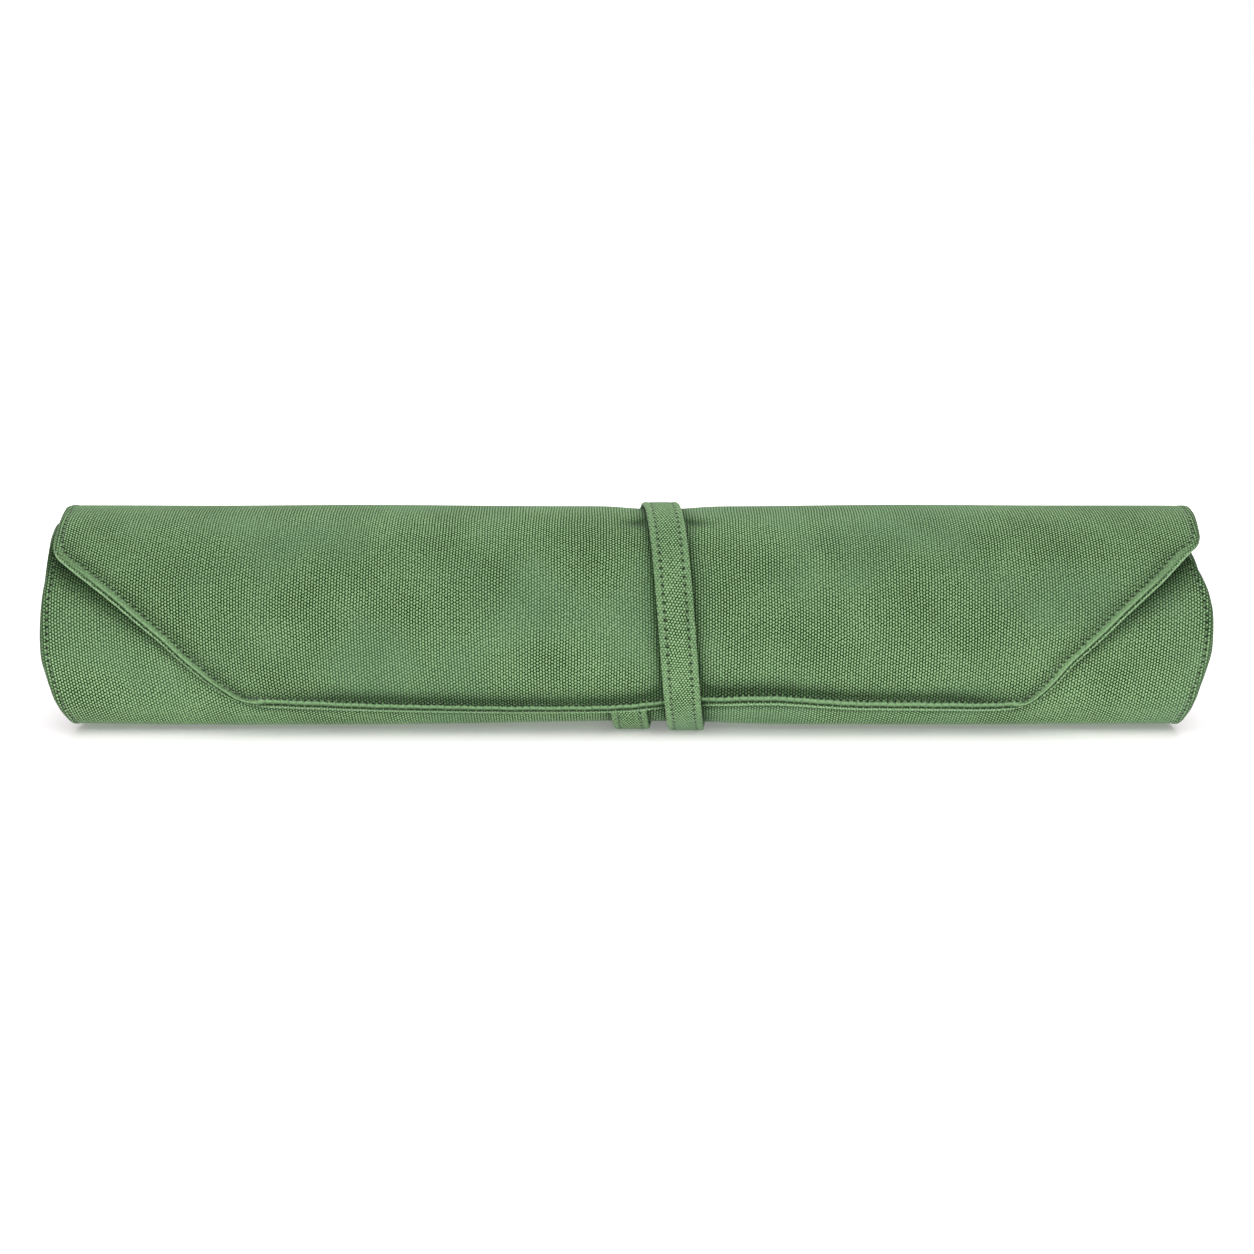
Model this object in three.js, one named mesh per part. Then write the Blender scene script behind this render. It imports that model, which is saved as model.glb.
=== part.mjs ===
// A knife roll, rolled up and tied: one hemmed canvas sheet with a lining, a row of knife pockets
// sewn to its inner half, a tapered flap at its outer end and one long strap sewn to the flap's edge.
// Millimetres, X along the roll, +Z up. The roll lies on its strap at z = 0, with its axis over y = 0.
// Angles are in degrees about the roll's axis and keep growing outwards along the rolled sheet:
// 0 is the back, 90 the top, 180 the front and 270 the bottom of the roll.

import * as THREE from 'three';

// Cloth
const ROLL_LENGTH = 460;
const OUTER_RADIUS = 45.6;
const COVER_THICKNESS = 0.9;
const LINING_THICKNESS = 0.5;
const LAYER_GAP = 0.25;
const TURN_CLEARANCE = 0.55;
const HEM_WIDTH = 12;
const SEAM_GAP = 0.3;

// Sections of the sheet, each a piece of cloth that hinges on the next
const BED_HALF_ANGLE = 25;
const WRAP_COUNT = 4;
const FLAP_COUNT = 2;
const FLAP_EDGE_ANGLE = 228;
const FLAP_EDGE_LENGTH = 314;
const FLAP_SHOULDER_LENGTH = 452;
const FACET_ANGLE = 12;
const FLAT_HALF_ANGLE = 12;
const LEAST_FACET = 1;

// Knife pockets
const POCKET_COUNT = 8;
const POCKET_ANGLE = 72;
const POCKET_DEPTH = 8;
const PANEL_THICKNESS = 0.9;
const POCKET_MOUTH_X = 95;
const POCKET_TAPER_LENGTH = 40;
const STITCH_MARGIN = 0.6;
const BULGE_POWER = 0.8;

// Strap, a helix that leaves the flap's edge and goes round the roll
const STRAP_WIDTH = 14.5;
const STRAP_THICKNESS = 2;
const STRAP_GAP = 1.2;
const STRAP_START_X = 0.3;
const STRAP_ADVANCE = 23;
const STRAP_LIFT_ANGLE = 28;
const STRAP_END_ANGLE = 654;
const STRAP_COUNT = 8;

// The valley that the tied strap presses into the cloth
const PRESS_DEPTH = 1.5;
const PRESS_MARGIN = 2;
const PRESS_FADE = 25;
const PRESS_FADE_MIDDLE = 0.35;

// Values worked out from the sizes above
const TURN = 360;
const BOTTOM_ANGLE = 270;
const HEM_DEPTH = COVER_THICKNESS + LAYER_GAP + LINING_THICKNESS;
const TURN_PITCH = HEM_DEPTH + TURN_CLEARANCE;
const POCKET_STACK = SEAM_GAP + POCKET_DEPTH + PANEL_THICKNESS;
const POCKET_PITCH = TURN_PITCH + POCKET_STACK;
const BED_START = BOTTOM_ANGLE - TURN - BED_HALF_ANGLE;
const BED_END = BOTTOM_ANGLE - TURN + BED_HALF_ANGLE;
const FLAP_UNDER_ANGLE = FLAP_EDGE_ANGLE - TURN;
const SHEET_END_ANGLE = BED_START - POCKET_COUNT * POCKET_ANGLE;
const STRAP_RADIUS = OUTER_RADIUS - PRESS_DEPTH + STRAP_GAP + STRAP_THICKNESS;
const AXIS_HEIGHT = STRAP_RADIUS * Math.cos(THREE.MathUtils.degToRad(FLAT_HALF_ANGLE));
const WRAP_ANGLE = (FLAP_EDGE_ANGLE - BED_END) / (WRAP_COUNT + FLAP_COUNT);
const SHOULDER_ANGLE = FLAP_EDGE_ANGLE - FLAP_COUNT * WRAP_ANGLE;

const canvas = new THREE.MeshStandardMaterial({ color: 0x6f8f65, roughness: 0.82, metalness: 0 });
const liningCloth = new THREE.MeshStandardMaterial({ color: 0x87957a, roughness: 0.9, metalness: 0 });
const pocketCanvas = new THREE.MeshStandardMaterial({ color: 0x688760, roughness: 0.85, metalness: 0 });
const strapCanvas = new THREE.MeshStandardMaterial({ color: 0x709068, roughness: 0.8, metalness: 0 });

// A point of the roll at an angle, a distance from the axis and a place along X.
function rollPoint(x, radius, angle) {
  const turn = THREE.MathUtils.degToRad(angle);
  return new THREE.Vector3(x, radius * Math.cos(turn), AXIS_HEIGHT + radius * Math.sin(turn));
}

// The angle that a length of cloth takes up at a radius.
function angleOfLength(length, radius) {
  return THREE.MathUtils.radToDeg(length / radius);
}

// A radius, drawn in near the bottom so that what lies on the table is flat.
function flatBottom(radius, angle) {
  const offset = THREE.MathUtils.euclideanModulo(angle - BOTTOM_ANGLE + TURN / 2, TURN) - TURN / 2;
  if (Math.abs(offset) >= FLAT_HALF_ANGLE) {
    return radius;
  }
  const { degToRad } = THREE.MathUtils;
  return radius * Math.cos(degToRad(FLAT_HALF_ANGLE)) / Math.cos(degToRad(offset));
}

// The outer face of the sheet is a spiral: plain turns lie close, pocketed turns leave room for knives.
function sheetRadius(angle) {
  const plainRadius = OUTER_RADIUS - TURN_PITCH * (FLAP_EDGE_ANGLE - Math.max(angle, BED_START)) / TURN;
  if (angle < BED_START) {
    return plainRadius - POCKET_PITCH * (BED_START - angle) / TURN;
  }
  return flatBottom(plainRadius, angle);
}

// Half of the sheet's length along X: full on the roll, tapering on the flap from its shoulders to its edge.
function halfLength(angle) {
  const taper = (angle - SHOULDER_ANGLE) / (FLAP_EDGE_ANGLE - SHOULDER_ANGLE);
  const flapLength = THREE.MathUtils.lerp(FLAP_SHOULDER_LENGTH, FLAP_EDGE_LENGTH, taper);
  return (taper >= 0 ? flapLength : ROLL_LENGTH) / 2;
}

// Where the middle of the strap crosses, and how far its outer face is from the axis.
function strapX(angle) {
  return STRAP_START_X + STRAP_ADVANCE * (angle - FLAP_EDGE_ANGLE) / TURN;
}

function strapRadius(angle) {
  const rootRadius = sheetRadius(FLAP_UNDER_ANGLE) + STRAP_GAP + STRAP_THICKNESS;
  const lift = THREE.MathUtils.smoothstep(angle, FLAP_EDGE_ANGLE, FLAP_EDGE_ANGLE + STRAP_LIFT_ANGLE);
  return flatBottom(THREE.MathUtils.lerp(rootRadius, STRAP_RADIUS, lift), angle);
}

// The depth of the strap's valley. On the outer turn it grows towards the flap's edge, because the
// strap is round and the turn is a spiral. Under that edge the next turn yields too, and then clears.
function pressDepth(angle) {
  if (angle >= BED_START) {
    return Math.max(0, PRESS_DEPTH - (OUTER_RADIUS - sheetRadius(angle)));
  }
  const below = Math.min(angle, FLAP_UNDER_ANGLE);
  const spare = (POCKET_PITCH - TURN_PITCH) * (BED_START - below) / TURN;
  const fadeIn = Math.min(1, (BED_START - angle) / (BED_START - FLAP_UNDER_ANGLE));
  return Math.max(0, PRESS_DEPTH - spare) * fadeIn;
}

// Angles from start to end, with the facet lines that all turns share between them. One is at the bottom.
function facetAngles(start, end) {
  const angles = [start];
  const firstFacet = Math.ceil((start - BOTTOM_ANGLE) / FACET_ANGLE);
  for (let line = BOTTOM_ANGLE + firstFacet * FACET_ANGLE; line < end; line += FACET_ANGLE) {
    if (line - start > LEAST_FACET && end - line > LEAST_FACET) {
      angles.push(line);
    }
  }
  angles.push(end);
  return angles;
}

// A closed sheet from two grids of points: pointAt(row, column, face) with face 0 outside and 1 inside.
function sheetGeometry(rowCount, columnCount, pointAt) {
  const positions = [];
  for (let face = 0; face < 2; face++) {
    for (let row = 0; row < rowCount; row++) {
      for (let column = 0; column < columnCount; column++) {
        positions.push(...pointAt(row, column, face).toArray());
      }
    }
  }
  const triangles = [];
  const at = (face, row, column) => (face * rowCount + row) * columnCount + column;
  const addQuad = (a, b, c, d) => triangles.push(a, b, c, a, c, d);
  const lastRow = rowCount - 1;
  const lastColumn = columnCount - 1;
  for (let row = 0; row < lastRow; row++) {
    const next = row + 1;
    for (let column = 0; column < lastColumn; column++) {
      const beside = column + 1;
      addQuad(at(0, row, column), at(0, next, column), at(0, next, beside), at(0, row, beside));
      addQuad(at(1, row, column), at(1, row, beside), at(1, next, beside), at(1, next, column));
    }
    addQuad(at(0, row, 0), at(1, row, 0), at(1, next, 0), at(0, next, 0));
    addQuad(at(0, row, lastColumn), at(0, next, lastColumn), at(1, next, lastColumn), at(1, row, lastColumn));
  }
  for (let column = 0; column < lastColumn; column++) {
    const beside = column + 1;
    addQuad(at(0, 0, column), at(0, 0, beside), at(1, 0, beside), at(1, 0, column));
    addQuad(at(0, lastRow, column), at(1, lastRow, column), at(1, lastRow, beside), at(0, lastRow, beside));
  }
  const geometry = new THREE.BufferGeometry();
  geometry.setAttribute('position', new THREE.Float32BufferAttribute(positions, 3));
  geometry.setIndex(triangles);
  geometry.computeVertexNormals();
  return geometry;
}

// The columns of a sheet across X. Each has its place at an angle, whether it is in the side hem,
// and its share of the strap's valley. The strap crosses a section some turns further out.
function sheetColumns(inset, inHem, strapTurns) {
  const edgeColumn = (sign, distance, hemmed) => ({
    x: (angle) => sign * (halfLength(angle) - distance),
    hemmed,
    pressed: 0,
  });
  const valleyColumn = (offset, pressed) => ({
    x: (angle) => strapX(angle + strapTurns * TURN) + offset,
    hemmed: false,
    pressed,
  });
  const floor = STRAP_WIDTH / 2 + PRESS_MARGIN;
  const valley = strapTurns === 0 ? [] : [
    valleyColumn(-floor - PRESS_FADE, 0),
    valleyColumn(-floor - PRESS_FADE / 2, PRESS_FADE_MIDDLE),
    valleyColumn(-floor, 1),
    valleyColumn(floor, 1),
    valleyColumn(floor + PRESS_FADE / 2, PRESS_FADE_MIDDLE),
    valleyColumn(floor + PRESS_FADE, 0),
  ];
  const left = inHem ? [edgeColumn(-1, 0, true), edgeColumn(-1, HEM_WIDTH, true)] : [];
  const right = inHem ? [edgeColumn(1, HEM_WIDTH, true), edgeColumn(1, 0, true)] : [];
  return [...left, edgeColumn(-1, inset, false), ...valley, edgeColumn(1, inset, false), ...right];
}

// The rows of a sheet along the cloth, with the hem that closes the flap's edge.
function sheetRows(start, end, hemAtEnd) {
  if (!hemAtEnd) {
    return facetAngles(start, end).map((angle) => ({ angle, hemmed: false }));
  }
  const hemStart = end - angleOfLength(HEM_WIDTH, OUTER_RADIUS);
  const plainEnd = hemStart - angleOfLength(SEAM_GAP, OUTER_RADIUS);
  const plainRows = facetAngles(start, plainEnd).map((angle) => ({ angle, hemmed: false }));
  return [...plainRows, { angle: hemStart, hemmed: true }, { angle: end, hemmed: true }];
}

// The outer canvas of a section. Its hems are folded inwards, as deep as the lining that they frame.
function coverGeometry(start, end, strapTurns, hemAtEnd) {
  const rows = sheetRows(start, end, hemAtEnd);
  const columns = sheetColumns(HEM_WIDTH + SEAM_GAP, true, strapTurns);
  return sheetGeometry(rows.length, columns.length, (rowIndex, columnIndex, face) => {
    const row = rows[rowIndex];
    const column = columns[columnIndex];
    const thickness = row.hemmed || column.hemmed ? HEM_DEPTH : COVER_THICKNESS;
    const outer = sheetRadius(row.angle) - pressDepth(row.angle) * column.pressed;
    return rollPoint(column.x(row.angle), outer - face * thickness, row.angle);
  });
}

// The lining of a section, inside the cover and between its hems.
function liningGeometry(start, end, strapTurns, hemAtEnd) {
  const hemLength = HEM_WIDTH + 2 * SEAM_GAP;
  const liningEnd = hemAtEnd ? end - angleOfLength(hemLength, OUTER_RADIUS) : end;
  const angles = facetAngles(start, liningEnd);
  const columns = sheetColumns(hemLength, false, strapTurns);
  return sheetGeometry(angles.length, columns.length, (row, columnIndex, face) => {
    const angle = angles[row];
    const column = columns[columnIndex];
    const outer = sheetRadius(angle) - COVER_THICKNESS - LAYER_GAP - pressDepth(angle) * column.pressed;
    return rollPoint(column.x(angle), outer - face * LINING_THICKNESS, angle);
  });
}

// A pocket's panel: sewn down along both sides and at its left end, bulging inwards, open to the right.
function panelGeometry(start, end) {
  const margin = angleOfLength(STITCH_MARGIN, sheetRadius(start));
  const angles = facetAngles(start + margin, end - margin);
  const closedX = HEM_WIDTH + SEAM_GAP - ROLL_LENGTH / 2;
  const columns = [
    { x: closedX, rise: 0 },
    { x: closedX + POCKET_TAPER_LENGTH / 2, rise: Math.SQRT1_2 },
    { x: closedX + POCKET_TAPER_LENGTH, rise: 1 },
    { x: POCKET_MOUTH_X, rise: 1 },
  ];
  return sheetGeometry(angles.length, columns.length, (row, columnIndex, face) => {
    const angle = angles[row];
    const column = columns[columnIndex];
    const share = (angle - angles[0]) / (angles[angles.length - 1] - angles[0]);
    const bulge = Math.max(0, Math.sin(Math.PI * share)) ** BULGE_POWER;
    const depth = HEM_DEPTH + SEAM_GAP + POCKET_DEPTH * bulge * column.rise;
    return rollPoint(column.x, sheetRadius(angle) - depth - face * PANEL_THICKNESS, angle);
  });
}

// A stretch of the strap, following its helix.
function strapGeometry(start, end) {
  const angles = facetAngles(start, end);
  return sheetGeometry(angles.length, 2, (row, side, face) => {
    const angle = angles[row];
    const x = strapX(angle) + (side - 0.5) * STRAP_WIDTH;
    return rollPoint(x, strapRadius(angle) - face * STRAP_THICKNESS, angle);
  });
}

// A group on a hinge line parallel to X, with the angle that lays it flat against its parent's line.
function hingedGroup(parent, hinge, flatAngle) {
  const group = new THREE.Group();
  group.position.copy(hinge).sub(parent.userData.hinge);
  group.userData = { hinge, flatAngle };
  parent.add(group);
  return group;
}

function addPiece(group, name, geometry, material) {
  const { hinge } = group.userData;
  geometry.translate(-hinge.x, -hinge.y, -hinge.z);
  const mesh = new THREE.Mesh(geometry, material);
  mesh.name = name;
  group.add(mesh);
}

// How far the line through the hinge points turns at each of them, from the second to the last but one.
function turnsAt(points) {
  const directions = points.slice(1).map((point, index) => point.clone().sub(points[index]));
  return directions.slice(1).map((direction, index) => (
    THREE.MathUtils.radToDeg(direction.angleTo(directions[index]))
  ));
}

// Half of the gap between neighbouring sections, as an angle at a radius.
function endTrim(radius) {
  return angleOfLength(SEAM_GAP / 2, radius);
}

const roll = new THREE.Group();
roll.userData = { hinge: new THREE.Vector3() };

// The bed: the bottom of the roll, from which the sheet runs both ways
const bedTrim = endTrim(sheetRadius(BED_START));
addPiece(roll, 'bed_cover', coverGeometry(BED_START + bedTrim, BED_END - bedTrim, 0, false), canvas);
addPiece(roll, 'bed_lining', liningGeometry(BED_START + bedTrim, BED_END - bedTrim, 0, false), liningCloth);

// Outwards from the bed: the wraps, the flap and the strap
const wrapBreaks = [BED_END];
for (let index = 1; index <= WRAP_COUNT + FLAP_COUNT; index++) {
  wrapBreaks.push(BED_END + index * WRAP_ANGLE);
}
const strapBreaks = [];
for (let index = 0; index <= STRAP_COUNT; index++) {
  strapBreaks.push(THREE.MathUtils.lerp(FLAP_EDGE_ANGLE, STRAP_END_ANGLE, index / STRAP_COUNT));
}

const outwardPoints = [
  ...[BED_START, ...wrapBreaks].map((angle) => rollPoint(0, sheetRadius(angle), angle)),
  ...strapBreaks.slice(1).map((angle) => rollPoint(0, strapRadius(angle), angle)),
];
const outwardTurns = turnsAt(outwardPoints);
let outwardGroup = roll;

for (let index = 0; index < WRAP_COUNT + FLAP_COUNT; index++) {
  const trim = endTrim(OUTER_RADIUS);
  const start = wrapBreaks[index] + trim;
  const end = wrapBreaks[index + 1] - trim;
  const onFlap = index >= WRAP_COUNT;
  const name = onFlap ? `flap_${index - WRAP_COUNT + 1}` : `wrap_${index + 1}`;
  const hemAtEnd = index === WRAP_COUNT + FLAP_COUNT - 1;
  const strapTurns = pressDepth(end) > 0 ? 1 : 0;
  outwardGroup = hingedGroup(outwardGroup, outwardPoints[index + 1], outwardTurns[index]);
  addPiece(outwardGroup, `${name}_cover`, coverGeometry(start, end, strapTurns, hemAtEnd), canvas);
  addPiece(outwardGroup, `${name}_lining`, liningGeometry(start, end, strapTurns, hemAtEnd), liningCloth);
}

for (let index = 0; index < STRAP_COUNT; index++) {
  const trim = endTrim(STRAP_RADIUS);
  const hingeIndex = wrapBreaks.length + index;
  const geometry = strapGeometry(strapBreaks[index] + trim, strapBreaks[index + 1] - trim);
  outwardGroup = hingedGroup(outwardGroup, outwardPoints[hingeIndex], outwardTurns[hingeIndex - 1]);
  addPiece(outwardGroup, `strap_${index + 1}`, geometry, strapCanvas);
}

// Inwards from the bed: the pockets
const pocketBreaks = [];
for (let index = 0; index <= POCKET_COUNT; index++) {
  pocketBreaks.push(THREE.MathUtils.lerp(BED_START, SHEET_END_ANGLE, index / POCKET_COUNT));
}
const inwardPoints = [BED_END, ...pocketBreaks].map((angle) => rollPoint(0, sheetRadius(angle), angle));
const inwardTurns = turnsAt(inwardPoints);
let inwardGroup = roll;

for (let index = 0; index < POCKET_COUNT; index++) {
  const trim = endTrim(sheetRadius(pocketBreaks[index + 1]));
  const start = pocketBreaks[index + 1] + trim;
  const end = pocketBreaks[index] - trim;
  const name = `pocket_${index + 1}`;
  const strapTurns = index === 0 ? 2 : 0;
  inwardGroup = hingedGroup(inwardGroup, inwardPoints[index + 1], inwardTurns[index]);
  addPiece(inwardGroup, `${name}_cover`, coverGeometry(start, end, strapTurns, false), canvas);
  addPiece(inwardGroup, `${name}_lining`, liningGeometry(start, end, strapTurns, false), liningCloth);
  addPiece(inwardGroup, `${name}_panel`, panelGeometry(start, end), pocketCanvas);
}

export default roll;
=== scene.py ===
# %% [markdown]
# # A canvas knife roll
# A knife roll is one hemmed canvas sheet with a lining and a row of pockets. It is rolled up, and a strap
# that is sewn to the tip of its flap goes round it.
# The CAD model is a chain of stiff sections on hinges. This lesson dresses that chain in cloth, in pieces
# that reach from the middle of one section to the middle of the next.

# %% Load the fixed frame
import math
from types import SimpleNamespace

import bpy
import numpy as np
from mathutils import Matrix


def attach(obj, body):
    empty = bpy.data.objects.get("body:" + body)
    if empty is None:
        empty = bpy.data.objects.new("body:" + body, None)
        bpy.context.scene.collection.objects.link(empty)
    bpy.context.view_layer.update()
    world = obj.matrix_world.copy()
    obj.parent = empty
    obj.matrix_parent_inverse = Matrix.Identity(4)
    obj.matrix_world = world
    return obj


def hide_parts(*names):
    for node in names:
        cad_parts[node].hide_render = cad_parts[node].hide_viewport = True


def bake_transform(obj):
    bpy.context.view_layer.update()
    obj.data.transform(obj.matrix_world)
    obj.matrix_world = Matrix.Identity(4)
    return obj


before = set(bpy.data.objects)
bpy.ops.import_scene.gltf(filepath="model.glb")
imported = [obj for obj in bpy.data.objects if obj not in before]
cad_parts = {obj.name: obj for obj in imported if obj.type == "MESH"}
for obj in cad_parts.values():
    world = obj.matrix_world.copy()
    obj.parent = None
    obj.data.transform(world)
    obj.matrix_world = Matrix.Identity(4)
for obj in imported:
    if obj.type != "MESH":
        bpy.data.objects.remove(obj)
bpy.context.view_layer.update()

# %% [markdown]
# ## Camera
# The photograph looks at the front of the roll from a little above, with a long lens. The lens follows from
# its focal length in pixels. The camera could be aimed with a constraint, but a tilt worked out from the row
# that the roll's axis has in the picture is exact and leaves nothing live in the scene.

# %% Camera
MM = 0.001
IMAGE_SIZE = 1254
FOCAL_PIXELS = 2061
SENSOR_MM = 36
CAMERA_DISTANCE = 850
CAMERA_ELEVATION = math.radians(11)
AXIS_ROW = 614
STRAP_CAD_RADIUS = 47.3
FLAT_HALF_ANGLE = 12
AXIS_HEIGHT = STRAP_CAD_RADIUS * math.cos(math.radians(FLAT_HALF_ANGLE))

camera_data = bpy.data.cameras.new("camera")
camera_data.sensor_width = SENSOR_MM
camera_data.lens = FOCAL_PIXELS / IMAGE_SIZE * SENSOR_MM
camera = bpy.data.objects.new("camera", camera_data)
tilt = CAMERA_ELEVATION + math.atan((IMAGE_SIZE / 2 - AXIS_ROW) / FOCAL_PIXELS)
camera.rotation_euler = (math.pi / 2 - tilt, 0, 0)
camera.location = (
    0,
    -CAMERA_DISTANCE * math.cos(CAMERA_ELEVATION) * MM,
    (AXIS_HEIGHT + CAMERA_DISTANCE * math.sin(CAMERA_ELEVATION)) * MM,
)
bpy.context.scene.collection.objects.link(camera)
bpy.context.scene.camera = camera
bpy.context.scene.view_settings.view_transform = "Standard"
print(f"lens {camera_data.lens:.1f} mm, tilt {math.degrees(tilt):.2f} degrees")

# %% [markdown]
# ## Shader arithmetic
# A weave is a formula, and a formula reads best as Python. This class wraps one socket of a node tree, so
# that adding or multiplying two of them adds the Math node that does it. Its node method makes any other
# node. The same nodes could be wired by hand in the shader editor, but they would be hard to read there.


# %% A socket that does arithmetic
class Field:
    """One value over a surface. Operators on it add Math nodes to its node tree."""

    def __init__(self, tree, socket=None):
        """Remembers a node tree and, where there is one, the socket that gives the value."""
        self.tree = tree
        self.socket = socket

    def node(self, kind, settings=None, inputs=None, output=0):
        """Adds a node of any type: first its settings, then the values or links of its sockets."""
        made = self.tree.nodes.new(kind)
        for name, value in (settings or {}).items():
            setattr(made, name, value)
        for key, value in (inputs or {}).items():
            if isinstance(value, Field):
                self.tree.links.new(value.socket, made.inputs[key])
            else:
                made.inputs[key].default_value = value
        return Field(self.tree, made.outputs[output] if len(made.outputs) else None)

    def math(self, operation, *others):
        """This value and the others, put through one Math node."""
        return self.node("ShaderNodeMath", {"operation": operation}, dict(enumerate((self, *others))))

    def reversed_math(self, operation, other):
        """The same with this value second, as in a number less a field."""
        return self.node("ShaderNodeMath", {"operation": operation}, {0: other, 1: self})

    def __add__(self, other):
        """The sum of two values."""
        return self.math("ADD", other)

    def __sub__(self, other):
        """The first value less the second."""
        return self.math("SUBTRACT", other)

    def __mul__(self, other):
        """The product of two values."""
        return self.math("MULTIPLY", other)

    def __truediv__(self, other):
        """The first value over the second."""
        return self.math("DIVIDE", other)

    def __rsub__(self, other):
        """A number less this value."""
        return self.reversed_math("SUBTRACT", other)

    __radd__ = __add__
    __rmul__ = __mul__

    def step(self, low, high):
        """A smooth step from 0 at low to 1 at high."""
        return self.node(
            "ShaderNodeMapRange",
            {"interpolation_type": "SMOOTHSTEP"},
            {"Value": self, "From Min": low, "From Max": high},
        )

    def band(self, middle, half_width):
        """1 on a line, falling smoothly to 0 at a half width to either side of it."""
        return 1 - (self - middle).math("ABSOLUTE").step(0, half_width)

    def noise(self, scale, detail=2.0):
        """Cloudy values about one half, from this vector."""
        return self.node(
            "ShaderNodeTexNoise", None, {"Vector": self, "Scale": scale, "Detail": detail}
        )

    def colours(self, first, second):
        """A mix of two colours, or of a colour field and a colour, by this factor."""
        return self.node(
            "ShaderNodeMix", {"data_type": "RGBA"}, {0: self, 6: first, 7: second}, output=2
        )


print("operators ready")

# %% [markdown]
# ## Floor
# The roll lies on plain white paper, in light so even that its underside is hardly darker than its top. A
# light table gives such light, so this paper is a diffuse surface that also shines. What the camera sees of
# it has less light of its own, because the soft shadow beside the roll has to stay. Further out it goes over
# to plain white. Lamps under a sheet of glass would do the same, but with far more noise.

# %% Floor
FLOOR_SIZE = 12.0
FLOOR_GREY = (0.81, 0.775, 0.79, 1)
FLOOR_GLOW = 0.21
TABLE_LIGHT = 0.43
WHITE_NEAR = 0.3
WHITE_FAR = 1.0
WHITE = (1, 1, 1, 1)

floor_mesh = bpy.data.meshes.new("floor")
half_floor = FLOOR_SIZE / 2
floor_mesh.from_pydata(
    [(-half_floor, -half_floor, 0), (half_floor, -half_floor, 0),
     (half_floor, half_floor, 0), (-half_floor, half_floor, 0)], [], [(0, 1, 2, 3)]
)
floor = bpy.data.objects.new("floor", floor_mesh)
bpy.context.scene.collection.objects.link(floor)

paper = bpy.data.materials.new("paper")
paper.use_nodes = True
paper.node_tree.nodes.clear()
start = Field(paper.node_tree)
ray = start.node("ShaderNodeLightPath", output="Is Camera Ray")
spot = start.node("ShaderNodeTexCoord", output="Object")
away = start.node("ShaderNodeVectorMath", {"operation": "LENGTH"}, {0: spot}, output="Value")
diffuse = start.node("ShaderNodeBsdfDiffuse", None, {"Color": FLOOR_GREY})
shine = TABLE_LIGHT + ray * (away.step(WHITE_NEAR, WHITE_FAR) + (FLOOR_GLOW - TABLE_LIGHT))
glow = start.node("ShaderNodeEmission", None, {"Color": WHITE, "Strength": shine})
lit_paper = start.node("ShaderNodeAddShader", None, {0: diffuse, 1: glow})
start.node("ShaderNodeOutputMaterial", None, {"Surface": lit_paper})
floor_mesh.materials.append(paper)
print("floor:", FLOOR_SIZE, "m wide")

# %% [markdown]
# ## Sky and lamps
# A dim sky and a few wide lamps give the even shading of a studio. The sky could be a picture of a studio,
# but a plain one throws no edges on the cloth. One lamp lights the paper alone and keeps it white. The lamp
# behind the roll leaves the paper out, and gives the top of the cloth its pale bloom.

# %% Sky
SKY_STRENGTH = 0.3
PLAIN_RAYS = ("Is Camera Ray", "Is Glossy Ray", "Is Transmission Ray")

world = bpy.data.worlds.new("studio")
world.use_nodes = True
world.node_tree.nodes.clear()
sky = Field(world.node_tree)
camera_ray, mirror_ray, glass_ray = (sky.node("ShaderNodeLightPath", output=kind) for kind in PLAIN_RAYS)
plain_ray = (camera_ray + mirror_ray + glass_ray).math("MINIMUM", 1.0)
strength = SKY_STRENGTH + plain_ray * (1 - SKY_STRENGTH)
background = sky.node("ShaderNodeBackground", None, {"Color": WHITE, "Strength": strength})
sky.node("ShaderNodeOutputWorld", None, {"Surface": background})
bpy.context.scene.world = world
print("sky:", SKY_STRENGTH)


# %% Lamps
def add_lamp(name, size, power, place, aim):
    """An area lamp of a width and a height, turned so that it shines from its place to a point."""
    lamp_data = bpy.data.lights.new(name, "AREA")
    lamp_data.shape = "RECTANGLE"
    lamp_data.size, lamp_data.size_y = size
    lamp_data.energy = power
    lamp = bpy.data.objects.new(name, lamp_data)
    lamp.visible_camera = False
    heading = np.subtract(aim, place)
    lamp.rotation_euler = (
        math.atan2(math.hypot(heading[0], heading[1]), -heading[2]),
        0,
        math.atan2(-heading[0], heading[1]),
    )
    lamp.location = place
    bpy.context.scene.collection.objects.link(lamp)
    return lamp


add_lamp("top_lamp", (1.6, 1.0), 13.5, (0.1, 0.1, 1.5), (0, 0, 0.05))
add_lamp("key_lamp", (1.4, 0.7), 5.7, (-0.1, -1.0, 1.0), (0, 0, 0.03))
add_lamp("front_card", (1.0, 0.3), 0.8, (0, -0.6, 0.03), (0, -0.03, 0.045))
paper_lamp = add_lamp("paper_lamp", (1.8, 1.6), 26, (0, -1.0, 1.1), (0, -0.05, 0))
back_lamp = add_lamp("back_lamp", (1.6, 0.6), 8.5, (0, 0.9, 1.1), (0, 0, 0.05))
for lamp, state in ((paper_lamp, "INCLUDE"), (back_lamp, "EXCLUDE")):
    receivers = bpy.data.collections.new(f"{lamp.name}_receivers")
    receivers.objects.link(floor)
    receivers.collection_objects[0].light_linking.link_state = state
    lamp.light_linking.receiver_collection = receivers
print("lamps:", len(bpy.data.lights))

# %% [markdown]
# ## The rolled sheet as a formula
# Everything sits on one spiral. An angle grows along the cloth from its inner end to the tip of the flap: 0
# is the back of the roll, 90 the top, 180 the front and 270 the bottom, and each turn adds 360. Plain turns
# lie close, and the turns with pockets stand further apart. These are the CAD model's sizes, in millimetres.

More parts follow.
